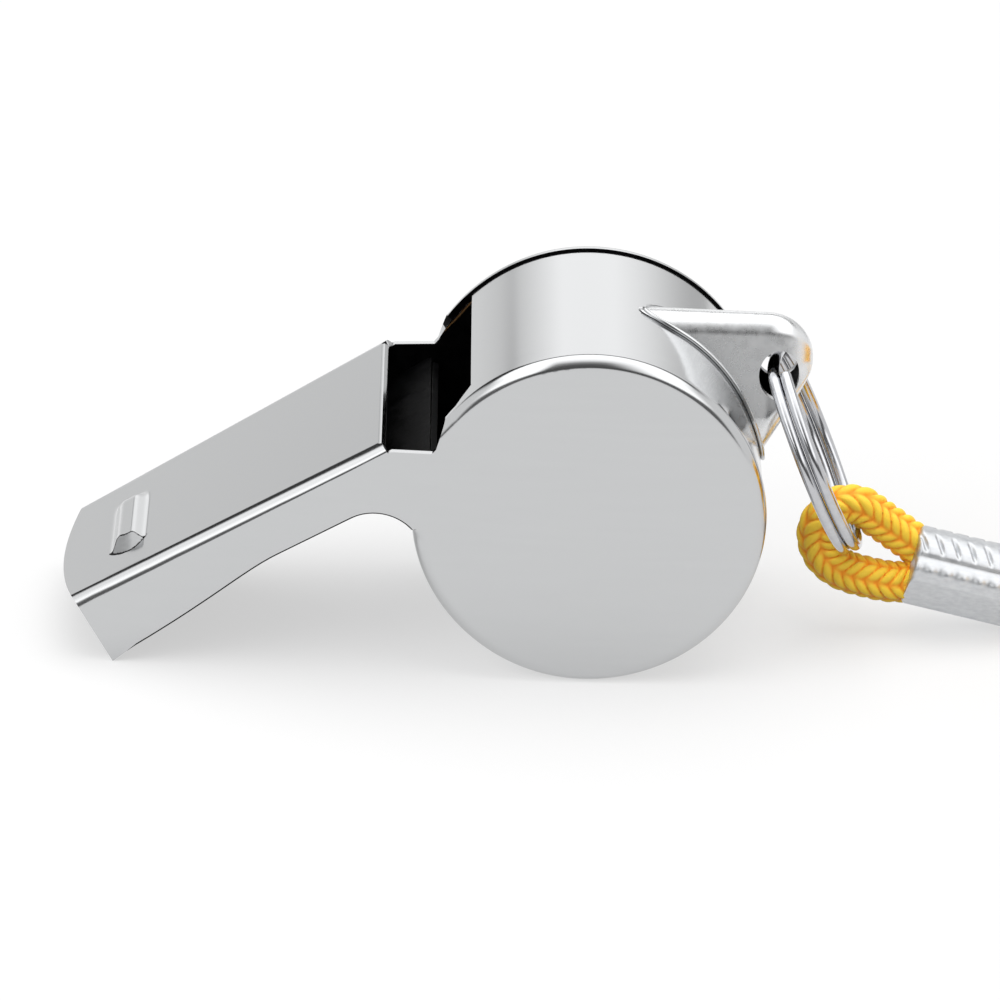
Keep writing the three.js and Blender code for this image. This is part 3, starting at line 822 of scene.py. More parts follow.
        forward = work.on_roof(1, 0) - work.on_roof(0, 0)
        drawn = work.drawn(work.on_roof(self.grip_at, 0).x)
        rows = [self.row_cut * step for step in range(-13, 14)]
        rows += [self.fine_cut * step - self.grip_near for step in range(26)]
        rows += [self.grip_half_length - self.fade_cut * step for step in range(11)]
        runs = [self.grip_at + self.fine_cut * step for step in range(-20, 28)]
        coarse = [self.run_cut * step for step in range(1, 15)]
        runs += [run for run in coarse if abs(run - self.grip_at) > self.fine_reach]
        for y in rows:
            slice_faces(shell, on_roof, (0, y / drawn, 0), (0, 1, 0))
        for run in runs:
            slice_faces(shell, on_roof_or_fold, work.on_roof(run, 0), forward)
        up = Vector((-math.sin(work.pitch), 0, math.cos(work.pitch)))
        lip_drawn = work.drawn(work.on_roof(work.mouth_length, 0).x)
        for vertex in shell.data.vertices:
            run, depth = work.roof_run(vertex.co)
            on_lip = run > work.mouth_length + 1
            if on_lip:
                vertex.co += forward * (self.lip_run(vertex.co.y * lip_drawn) - run)
            vertex.co.y *= work.drawn(vertex.co.x)
            if not on_lip and abs(depth) < SAME_PLACE and abs(vertex.co.y) < self.grip_near:
                vertex.co += up * self.grip(run, vertex.co.y)

    def open_sheet(self, shell: Piece) -> None:
        """Leave only the bent sheet: no lip end, lower side, window or middle of the rim."""
        work = self.work

        def waste(face: Face) -> bool:
            """Whether a face is cut out of the sheet."""
            run, depth = work.roof_run(face.center)
            if depth < NEAR and 0 < run < work.mouth_length + 2 and face.normal.z > 0.3:
                return False
            if abs(work.reach(face.center) - work.radius) < 0.05 and abs(face.normal.y) < 0.05:
                flange_foot = (work.half_width - work.rim_width) * work.drawn(face.center.x)
                return abs(face.center.y) < flange_foot
            return abs(face.normal.y) < 0.04

        pick_faces(shell, waste)
        with editing(shell):
            bpy.ops.mesh.delete(type="FACE")
            bpy.ops.mesh.select_all(action="SELECT")
            bpy.ops.mesh.remove_doubles(threshold=NEAR)
            bpy.ops.mesh.dissolve_degenerate(threshold=NEAR / 2)

    def round_cut_edges(self, shell: Piece) -> None:
        """Take the sharpness off the sheet's cut edges, which then catch the light."""
        work = self.work

        def under_wall(point: Vector) -> bool:
            """Whether a point lies on a wall's outer lower edge."""
            run, depth = work.roof_run(point)
            outside = work.half_width - work.toe_in(point.x)
            before_barrel = point.x < -work.radius and run < work.mouth_length - 0.3
            return before_barrel and depth > self.neck_depth - 0.5 and abs(point.y) > outside - 0.05

        def over_window(point: Vector) -> bool:
            """Whether a point lies on the roof's edge at the window."""
            run, depth = work.roof_run(point)
            return abs(run) < 2 * NEAR and abs(depth) < 2 * NEAR

        for test, width in ((under_wall, self.under_round), (over_window, self.window_round)):
            pick_edges(shell, lambda first, second: test(first) and test(second))
            round_edges(shell, width)
        pick_sharp(shell)
        spots = [vertex.co for vertex in shell.data.vertices]
        for edge in shell.data.edges:
            if self.in_grip(spots[edge.vertices[0]]):
                edge.select = False
        round_edges(shell, self.edge_round, clamp=True)

    def paint_edge_shade_and_grip_satin(self, shell: Piece) -> None:
        """Paint shade, as the near-black steel, on the flange edges, the walls' lower edges and the outline
        of the rib's end, and give the rib's end the satin finish.
        """
        work = self.work
        for face in shell.data.polygons:
            spot = face.center
            inward = -face.normal.y * math.copysign(1, spot.y)
            outside = work.reach(spot) > work.radius - work.sheet and abs(spot.y) > work.half_width / 2
            flange_edge = outside and inward > 0.5
            run, depth = work.roof_run(spot)
            end = self.grip_end(run, spot.y)
            below_crest = self.rib(run, spot.y) - end
            on_end = self.in_grip(spot) and abs(depth + end) < 0.05 and below_crest > -0.02
            outline = on_end and (below_crest < self.crest_shade_line or end < self.base_shade_line)
            on_wall = spot.x < -work.radius and run < work.mouth_length - self.lip_trim
            under_wall = on_wall and face.normal.z < -0.25
            # Painted shade: the gaps at the flange edges, the dark undersides of the walls and the outline
            # round the rib's end.
            if flange_edge or outline or under_wall:
                face.material_index = 1
            elif on_end:
                face.material_index = 2


@dataclass
class BarrelBand:
    """The strip round the chamber, with a horn beside the near cheek at its front edge."""

    work: Sheetwork = SHEETWORK
    lead: float = 133.8
    tail: float = -198.0
    horn_length: float = 2.1
    horn_width: float = 1.6
    edge_round: float = 0.08
    step_down: float = 0.15
    tail_ease: float = 40.0
    # Span in degrees of painted shade at the tail's end
    tail_shade_span: float = 7.0
    seam: float = 0.04

    def build(self) -> Piece:
        """The finished strip, polished outside, with painted shade inside and at its tail."""
        work = self.work
        limit = work.half_width - work.rim_width - self.seam
        horn_foot = limit - self.horn_width
        degrees_per_mm = 180 / (math.pi * work.radius)

        def place(share: float, turn: float) -> Vector:
            """A point of the strip's outer face, from front to tail and from side to side."""
            y = (2 * turn - 1) * limit
            beyond = unit((-y - horn_foot) / self.horn_width)
            front = self.lead + beyond * self.horn_length * degrees_per_mm
            degrees = front + (self.tail - front) * share
            raised = soft_step((degrees - self.tail) / self.tail_ease - 0.5)
            drop = work.radius - work.band_radius
            outer = work.radius - drop + (drop - self.step_down) * raised
            point = work.polar(outer, degrees, y)
            point.y *= work.drawn(point.x)
            return point

        band = add_grid("barrel_band_strip", 220, 60, place)
        middle = band.data.polygons[len(band.data.polygons) // 2]
        outward = Vector((middle.center.x, 0, middle.center.z - AXIS_Z))
        with editing(band):
            bpy.ops.mesh.select_all(action="SELECT")
            if middle.normal.dot(outward) < 0:
                bpy.ops.mesh.flip_normals()
        # Material 1 on the inner faces is the near-black steel: painted shade inside the chamber.
        apply_modifier(band, "SOLIDIFY", thickness=work.sheet, offset=-1, material_offset=1)
        pick_sharp(band)
        round_edges(band, self.edge_round, clamp=True)
        # Faces near the tail's end also get painted shade.
        for face in band.data.polygons:
            degrees = math.degrees(math.atan2(face.center.z - AXIS_Z, face.center.x))
            if abs(degrees - 360 - self.tail) < self.tail_shade_span:
                face.material_index = 1
        smooth(band)
        dress(band, POLISHED, PAINTED_SHADE_STEEL)
        return settle(band, Body.WHISTLE, Slot.STEEL, "barrel_band")


@dataclass
class LanyardLug:
    """A pressed hollow hood on the band, with a hole through both walls."""

    work: Sheetwork = SHEETWORK
    crest: float = 10.3
    nose_x: float = 13.9
    nose_radius: float = 2.9
    ridge_radius: float = 1.25
    lean: float = math.radians(13)
    foot_height: float = 4.0
    heel: float = 0.6
    chin: float = math.radians(-20)
    hole: tuple[float, float] = (11.75, 6.85)
    hole_radius: float = 1.5
    hole_squeeze: float = 0.84
    bead: float = 0.14
    crest_rise: float = 0.27
    ridge_flare: float = 0.25
    keel_inset: float = 1.6
    nose_stop: float = 0.9999
    stand_off: float = 0.05
    stations: int = 90
    keel_steps: int = 20
    wall_steps: int = 40
    bead_steps: int = 60

    @property
    def nose(self) -> tuple[float, float]:
        """Middle of the round nose, along the hood and over the axis."""
        return self.nose_x - self.nose_radius, self.crest - self.nose_radius

    def side(self, height: float, inset: float) -> float:
        """Half width over the foot: a round ridge with leaning walls."""
        centre = self.crest - self.ridge_radius
        radius = self.ridge_radius - inset
        wall_top = centre + radius * math.sin(self.lean)
        if height >= wall_top:
            return math.sqrt(max(radius ** 2 - (height - centre) ** 2, 0.0))
        return radius * math.cos(self.lean) + (wall_top - height) * math.tan(self.lean)

    def half_width(self, height: float, bottom: float, inset: float) -> float:
        """Half width at a height over the axis, closing in below the foot to a keel at the bottom."""
        if height >= self.foot_height or bottom >= self.foot_height:
            return self.side(height, inset)
        share = max((height - bottom) / (self.foot_height - bottom), 0.0)
        return self.side(self.foot_height, inset) * math.sqrt(1 - (1 - share) ** 2)

    def keel(self, x: float) -> float:
        """Height of the underside's middle line."""
        middle_x, middle_z = self.nose
        chin_x = middle_x + self.nose_radius * math.cos(self.chin)
        chin_z = middle_z + self.nose_radius * math.sin(self.chin)
        heel_x = self.work.band_radius + self.work.fit_gap
        if x > chin_x:
            return middle_z - math.sqrt(max(self.nose_radius ** 2 - (x - middle_x) ** 2, 0.0))
        return self.heel + max(x - heel_x, -1.0) * (chin_z - self.heel) / (chin_x - heel_x)

    def flared(self, x: float, width: float, height: float) -> tuple[float, float]:
        """A half width and height over the axis, with the ridge higher and wider towards the band."""
        back = max(self.nose[0] - x, 0.0) / self.nose[0]
        upper = max(height - self.foot_height, 0.0) / (self.crest - self.foot_height)
        return width * (1 + self.ridge_flare * back * upper), height + self.crest_rise * back * upper

    def ring(self, x: float, inset: float) -> list[Vector]:
        """One section across the hood at x.

        Args:
            x: the place along the hood.
            inset: how far inside the outer face.

        Returns:
            Points from the keel up the far side and down the near side.
        """
        middle_x, middle_z = self.nose
        beyond = max(x - middle_x, 0.0) / (self.nose_radius - inset)
        shrink = math.sqrt(max(1 - beyond ** 2, 0.0))
        keel_inset = self.keel_inset * inset
        bottom = min(self.keel(min(x, middle_x)) + keel_inset, self.foot_height)
        sink = min(middle_z - self.keel(x) - keel_inset, middle_z - bottom) / (middle_z - bottom)
        sink = min(max(sink, 0.0), shrink ** 0.5)
        side: list[Vector] = []
        for step in range(-self.keel_steps, self.wall_steps + 1):
            if step < 0:
                height = bottom + (self.foot_height - bottom) * (1 + step / self.keel_steps) ** 1.6
            else:
                share = math.sin(0.5 * math.pi * step / self.wall_steps)
                height = self.foot_height + (self.crest - inset - self.foot_height) * share
            width = self.half_width(height, bottom, inset) * shrink
            rise = (height - middle_z) * (shrink if height > middle_z else sink)
            width, height = self.flared(x, width, middle_z + rise)
            side.append(Vector((x, width, AXIS_Z + height)))
        side[0].y = 0.0
        side[-1].y = 0.0
        return both_sides(side)[:-1]

    def form(self, name: str, inset: float, start: float) -> Piece:
        """The hood as a closed body, drawn in by inset."""
        nose = self.nose_x - inset
        stations = []
        for step in range(self.stations + 1):
            share = step / self.stations
            stations.append(start + (nose - start) * math.sin(0.5 * math.pi * share) * self.nose_stop)
        rings = [self.ring(x, inset) for x in stations]
        count = len(rings[0])

        def place(share: float, turn: float) -> Vector:
            """A point of the hood, by its section and its place round it."""
            return rings[round(share * self.stations)][round(turn * count) % count]

        piece = add_grid(name, self.stations, count, place)
        close_mesh(piece, SAME_PLACE)
        cap_ends(piece)
        return piece

    def cylinder(self, radius: float, x: float, z: float, length: float, sides: int) -> Piece:
        """A cutting cylinder along Y."""
        clear_selection()
        bpy.ops.mesh.primitive_cylinder_add(
            vertices=sides, radius=radius, depth=length, location=(x, 0, z), rotation=(math.pi / 2, 0, 0))
        tool = bpy.context.object
        bpy.ops.object.transform_apply(location=True, rotation=True, scale=True)
        return tool

    def build(self) -> Piece:
        """The finished hood."""
        work = self.work
        lug = self.form("lanyard_lug_hood", 0.0, 0.5)
        hollow = self.form("lug_hollow", work.sheet, 0.2)
        for piece in (lug, hollow):
            dress(piece, PRESSED, PAINTED_SHADE_STEEL)
        # The hollow's faces keep the near-black steel after the cut: painted shade inside the hood and its
        # hole.
        for face in hollow.data.polygons:
            face.material_index = 1
        cut(lug, hollow)
        seat = work.radius - BarrelBand.step_down + self.stand_off
        cut(lug, self.cylinder(seat, 0, AXIS_Z, 30, 240))
        bore = self.cylinder(self.hole_radius, 0, 0, 20, 64)
        bore.data.transform(Matrix.Scale(self.hole_squeeze, 4, Vector((1, 0, 0))))
        bore.data.transform(Matrix.Translation((self.hole[0], 0, AXIS_Z + self.hole[1])))
        cut(lug, bore)
        bead = self.base_bead()
        dress(bead, POLISHED)
        activate(lug)
        bead.select_set(True)
        bpy.ops.object.join()
        bpy.ops.object.shade_smooth_by_angle(angle=math.radians(50))
        return settle(lug, Body.WHISTLE, Slot.STEEL, "lanyard_lug")

    def base_bead(self) -> Piece:
        """The sheet's rolled edge round the hood's foot, lying on the band."""
        reach = self.work.radius - BarrelBand.step_down + self.bead
        far: list[Vector] = []
        for step in range(self.bead_steps + 1):
            share = 0.5 * (1 - math.cos(math.pi * step / self.bead_steps))
            height = self.heel + (self.crest - self.heel) * share
            width = self.half_width(height, self.heel, 0.0)
            x = math.sqrt(reach ** 2 - height ** 2)
            for _ in range(6):
                wide, high = self.flared(x, width, height)
                x = math.sqrt(max(reach ** 2 - high ** 2, 0.0))
            far.append(Vector((x, wide, AXIS_Z + high)))
        route = smooth_route(both_sides(far), 0.12)
        return add_tube("lug_bead", route, 12, lambda angle, run: self.bead)


@dataclass
class Pea:
    """The cork ball in the chamber."""

    work: Sheetwork = SHEETWORK
    diameter: float = 10.5
    gap: float = 0.3
    grit_size: float = 0.8
    grit_depth: float = 0.25

    def build(self) -> Piece:
        """The ball, with the uneven surface of cork."""
        radius = self.diameter / 2
        floor = AXIS_Z - self.work.band_radius + self.work.sheet
        clear_selection()
        bpy.ops.mesh.primitive_ico_sphere_add(
            subdivisions=5, radius=radius, location=(0, 0, floor + self.gap + radius))
        ball = bpy.context.object
        ball.name = "cork_pea"
        bpy.ops.object.transform_apply(location=True, rotation=True, scale=True)
        grit = bpy.data.textures.new("cork_grit", "CLOUDS")
        grit.noise_scale = self.grit_size
        apply_modifier(
            ball, "DISPLACE", texture=grit, texture_coords="LOCAL", mid_level=1.0,
            strength=-self.grit_depth)
        bpy.ops.object.shade_smooth()
        dress(ball, CORK)
        return settle(ball, Body.PEA, Slot.CORK, "pea")


@dataclass
class SplitRing:
    """Almost two turns of wire, side by side, with one jog between them."""

    radius: float = 6.6
    wire: float = 0.74
    spacing: float = 0.76
    tilt: float = math.radians(23)
    yaw: float = math.radians(1.5)
    jog: float = 40.0
    jog_at: float = -90.0
    hole: tuple[float, float] = LanyardLug.hole
    lug_half_width: float = 2.9
    sheet: float = SHEETWORK.sheet
    steps: int = 400
    end_length: float = 0.15
    end_taper: float = 0.3

    def build(self) -> Piece:
        """The finished ring."""
        down = Vector((math.sin(self.tilt), 0, -math.cos(self.tilt)))
        out = Vector((math.cos(self.tilt), 0, math.sin(self.tilt)))
        across = Vector((-math.sin(self.yaw), math.cos(self.yaw), 0))
        drop = math.sqrt(self.radius ** 2 - (self.lug_half_width - self.sheet) ** 2)
        centre = Vector((self.hole[0], 0, AXIS_Z + self.hole[1])) + drop * down
        route = []
        for step in range(self.steps + 1):
            turn = self.jog / 2 + (720 - self.jog) * step / self.steps
            side = soft_step((turn - 360 + self.jog / 2) / self.jog)
            angle = math.radians(turn + self.jog_at)
            route.append(
                centre + self.radius * (math.sin(angle) * down + math.cos(angle) * across)
                + self.spacing * (side - 0.5) * out)
        ring = add_tube("split_ring_wire", route, 24, self.wire_radius)
        dress(ring, WIRE)
        return settle(ring, Body.RING, Slot.WIRE, "split_ring")

    def wire_radius(self, angle: float, run: float) -> float:
        """Radius of the wire, rounded off at its first and last end."""
        length = math.radians(720 - self.jog) * self.radius
        ends = min(run, length - run)
        return self.wire / 2 * (1 - self.end_taper * max(0.0, 1 - ends / self.end_length) ** 2)


# The lanyard


@dataclass
class Lanyard:
    """Braided neck cord: an eye on the ring, a crimped sleeve, and the loop put away as a tied hank."""

    cord: float = 2.9
    eye_cord: float = 2.7
    plait: float = 0.76
    plait_depth: float = 0.3
    plait_columns: int = 6
    plait_slant: float = 0.6
    slope: float = math.radians(13.5)
    ferrule_front: tuple[float, float] = (20.5, 4.4)
    ferrule_length: float = 7.0
    ferrule_diameter: float = 5.1
    crescent: float = 1.06
    crescent_depth: float = 0.26
    strand_rise: float = 1.25
    strand_spread: float = 1.15
    joint_gap: float = 0.3
    turns: float = 7.75
    climbs: tuple[float, ...] = (1.5, 3.5, 5.5)
    climb_turn: float = 0.25
    run: float = 28.0
    fold: float = 5.8
    step: float = 3.6
    layer: float = 3.5
    waist: float = 2.4
    start_x: float = 56.0
    tie_width: float = 5.0
    tie_thick: float = 0.5
    tie_rest: float = 0.02
    tie_round: float = 0.15
    tie_square: float = 1.6
    eye_spacing: float = 0.06
    loop_spacing: float = 0.24
    eye_tuck: float = 1.2
    eye_squeeze: float = 0.45
    lead_tuck: float = 0.8
    lead_squeezes: tuple[float, float] = (0.4, 0.5)
    lead_straights: tuple[float, float] = (0.5, 1.5)
    lead_shares: tuple[float, float] = (0.55, 0.8)
    floor_gap: float = 0.5
    sleeve_steps: int = 140
    sleeve_end: tuple[float, float] = (0.3, 0.25)
    crescent_arc: tuple[float, float] = (10.0, 46.0)
    groove_arc: tuple[float, float] = (46.0, 60.0)
    ridge_arc: tuple[float, float] = (60.0, 84.0)
    flat_arc: tuple[float, float] = (88.0, 148.0)
    hank: list[Vector] = field(default_factory=list)

    @property
    def front(self) -> Vector:
        """Middle of the sleeve's front end."""
        return Vector((self.ferrule_front[0], 0, self.ferrule_front[1]))

    def along(self) -> Vector:
        """Direction of the sleeve, from the eye towards the hank."""
        return Vector((math.cos(self.slope), 0, -math.sin(self.slope)))

    def strand(self, away: float, sign: int, squeeze: float = 1.0) -> Vector:
        """A strand's middle at a run from the sleeve's front, drawn to the sleeve's axis by squeeze."""
        rise = Vector((math.sin(self.slope), 0, math.cos(self.slope)))
        offset = self.strand_rise * rise + Vector((0, self.strand_spread, 0))
        return self.front + away * self.along() + sign * squeeze * offset

    def crown(self, angle: float, run: float) -> float:
        """Height of the braid from 0 in a valley to 1 on a plait: columns of plaits that slant in turn; it
        also sets the braid's painted shade in the valleys and painted highlight on the plaits.
        """
        width = 2 * math.pi / self.plait_columns
        column = round(angle / width)
        across = 2 * (angle / width - column)
        sense = 1 if column % 2 == 0 else -1
        place = run / self.plait + sense * self.plait_slant * across
        offset = 2 * (place - math.floor(place)) - 1
        plait = math.sqrt(max(1 - offset * offset, 0.0))
        return plait * (0.4 + 0.6 * math.cos(math.pi * across / 2))

    def braid(self, cord: float) -> Callable[[float, float], float]:
        """The radius of a braid of a thickness, by angle and run."""
        return lambda angle, run: cord / 2 - self.plait_depth * (1 - self.crown(angle, run))

    def eye_route(self) -> list[Vector]:
        """Listed points of the eye, from the sleeve round the ring and back."""
        points = (
            (20.7, 0.4, 5.65), (18.5, 0.4, 7.25), (17.2, 0.3, 8.15), (15.8, 0.15, 8.15), (14.85, 0.0, 7.25),
            (14.65, 0.0, 6.1), (15.15, -0.1, 4.85), (16.3, -0.2, 3.95), (17.95, -0.35, 3.5),
            (19.35, -0.4, 3.27), (20.4, -0.4, 3.3),
        )
        first, last = (self.strand(self.eye_tuck, sign, self.eye_squeeze) for sign in (1, -1))
        return [first, *(Vector(point) for point in points), last]

    def hank_route(self) -> list[Vector]:
        """The hank's loops, spiralling in and out through four layers."""
        low = self.tie_thick + self.tie_rest + self.joint_gap + self.cord / 2
        starts = [0.0, *(climb + self.climb_turn for climb in self.climbs)]
        ends = [*self.climbs, self.turns]
        middle = self.start_x + self.run / 2

        def place(turn: float) -> Vector:
            """A point of the hank by its number of turns."""
            wound = self.climbs[0]
            for index, (first, last) in enumerate(zip(starts, ends)):
                wound += (min(max(turn, first), last) - first) * (-1 if index % 2 == 0 else 1)
            rise = low
            for climb in self.climbs:
                rise += self.layer * soft_step((turn - climb) / self.climb_turn)
            reach = self.fold + self.step * wound
            quarter = math.floor((turn % 1) * 4 + 1e-9)
            part = (turn % 1) * 4 - quarter
            sign = 1 if quarter < 2 else -1
            if quarter % 2 == 0:
                drawn = self.waist * math.sin(math.pi * part) ** 2
                return Vector((middle + sign * self.run * (part - 0.5), sign * (reach - drawn), rise))
            angle = math.pi * part
            x = middle + sign * (self.run / 2 + reach * math.sin(angle))
            return Vector((x, sign * reach * math.cos(angle), rise))

        count = round(self.turns * 48)
        return [place(min(self.turns * step / count, self.turns - 1e-7)) for step in range(count + 1)]

    def lead_route(self, sign: int, hank_end: Vector) -> list[Vector]:
        """Points of one lead, from the sleeve's back to an end of the hank."""
        leave = self.strand(self.ferrule_length + self.joint_gap, sign)
        to = hank_end + Vector((-self.joint_gap, 0, 0))
        fold_end = min(point.x for point in self.hank) - self.cord / 2
        beside = Vector((fold_end, to.y, to.z))
        route = [
            self.strand(self.ferrule_length - self.lead_tuck, sign, self.lead_squeezes[0]),
            self.strand(self.ferrule_length, sign, self.lead_squeezes[1]),
            *(leave + self.along() * straight * self.cord for straight in self.lead_straights),
            *(leave.lerp(beside, share) for share in self.lead_shares),
            Vector((fold_end + 2 * self.cord, to.y, to.z)),
            to - Vector((self.cord, 0, 0)),
        ]
        lowest = self.cord / 2 + self.floor_gap
        return [Vector((point.x, point.y, max(point.z, lowest))) for point in route]

    def build_eye(self) -> Piece:
        """The eye round the ring, with every plait."""
        route = smooth_route(self.eye_route(), self.eye_spacing)
        eye = add_tube("cord_eye_braid", route, 72, self.braid(self.eye_cord), self.crown)
        dress(eye, BRAID)
        return settle(eye, Body.LANYARD, Slot.BRAID, "cord_eye")

    def build_loop(self) -> Piece:
        """The neck loop: out of the sleeve, through the hank and back into the sleeve."""
        points = [
            *self.lead_route(1, self.hank[0]),
            *self.hank,
            *reversed(self.lead_route(-1, self.hank[-1])),
        ]
        route = smooth_route(points, self.loop_spacing)
        loop = add_tube("neck_cord_loop", route, 24, self.braid(self.cord), self.crown)
        dress(loop, BRAID)
        settle(loop, Body.LANYARD, Slot.BRAID, "cord_lead_upper", "cord_lead_lower", "cord_hank")
        shift = Vector((AXIS_X, 0, 0))
        exit_point = (self.strand(self.ferrule_length, 1) + shift) * MM
        return loop

    def build_ferrule(self) -> Piece:
        """The crimped sleeve: chevrons pressed into its upper side, its lower side pressed flat."""
        step_length = self.ferrule_length / self.sleeve_steps
        steps = range(self.sleeve_steps + 1)
        route = [self.front + self.along() * (step_length * step) for step in steps]
        full = self.ferrule_diameter / 2

        def across(turn: float, arc: tuple[float, float]) -> float:
            """How far a turn has come through an arc."""
            return (turn - arc[0]) / (arc[1] - arc[0])

        def radius(angle: float, run: float) -> float:
            """Radius of the sleeve, with its crescents, groove, ridge and flat."""
            side = math.degrees(angle) % 360
            turn = side if side <= 180 else 360 - side
            ends = min(run, self.ferrule_length - run)
            size = full - self.sleeve_end[1] * max(0.0, 1 - ends / self.sleeve_end[0]) ** 2
            wave = 2 * math.pi * run / self.crescent
            depth = self.crescent_depth
            share = across(turn, self.crescent_arc)
            if 0 < share < 1:
                groove = max(0.0, math.cos(wave - 1.2 * math.pi * share ** 0.8)) ** 3
                return size - depth * groove * math.sin(math.pi * share)
            share = across(turn, self.groove_arc)
            if 0 <= share < 1:
                return size - 0.5 * depth * math.sin(math.pi * share) ** 2
            share = across(turn, self.ridge_arc)
            if 0 <= share < 1:
                return size + math.sin(math.pi * share) * depth * (0.75 + 0.25 * math.cos(wave))
            if 0 < across(turn, self.flat_arc) < 1:
                flat_half = math.radians(self.flat_arc[1] - self.flat_arc[0]) / 2
                aside = math.radians(turn - sum(self.flat_arc) / 2)
                return min(size, full * math.cos(flat_half) / math.cos(aside))
            return size

        sleeve = add_tube("crimp_ferrule_sleeve", route, 120, radius)
        dress(sleeve, CRIMPED)
        return settle(sleeve, Body.LANYARD, Slot.FERRULE, "crimp_ferrule")

    def build_tie(self) -> Piece:
        """The flat tape round the hank's waist."""
        middle = self.start_x + self.run / 2
        slack = self.joint_gap / 3 + self.cord / 2
        reach = self.tie_width / 2 + self.joint_gap
        near = [point for point in self.hank if abs(point.x - middle) < reach]
        wide = max(abs(point.y) for point in near) + slack
        top = max(point.z for point in near) + slack
        base = self.tie_rest + self.tie_thick
        corner = self.cord / 2
        centre_z = (top + base) / 2
        high = (top - base) / 2

        def place(share: float, turn: float) -> Vector:
            """A point of the tape, across its width and round the hank."""
            angle = 2 * math.pi * turn
            y, z = (
                (half - corner) * max(-1.0, min(1.0, self.tie_square * turned)) + corner * turned
                for half, turned in ((wide, math.cos(angle)), (high, math.sin(angle)))
            )
            return Vector((middle + (share - 0.5) * self.tie_width, y, centre_z + z))

        tie = add_grid("hank_tie_tape", 16, 160, place)
        close_mesh(tie)
        apply_modifier(tie, "SOLIDIFY", thickness=self.tie_thick, offset=1)
        apply_modifier(tie, "BEVEL", width=self.tie_round, segments=2, limit_method="ANGLE")
        smooth(tie)
        dress(tie, TAPE)
        return settle(tie, Body.LANYARD, Slot.TIE, "hank_tie")

    def build(self) -> None:
        """All the lanyard's pieces."""
        self.hank = self.hank_route()
        eye = self.build_eye()
        sleeve = self.build_ferrule()
        tie = self.build_tie()
        self.build_loop()


# The studio


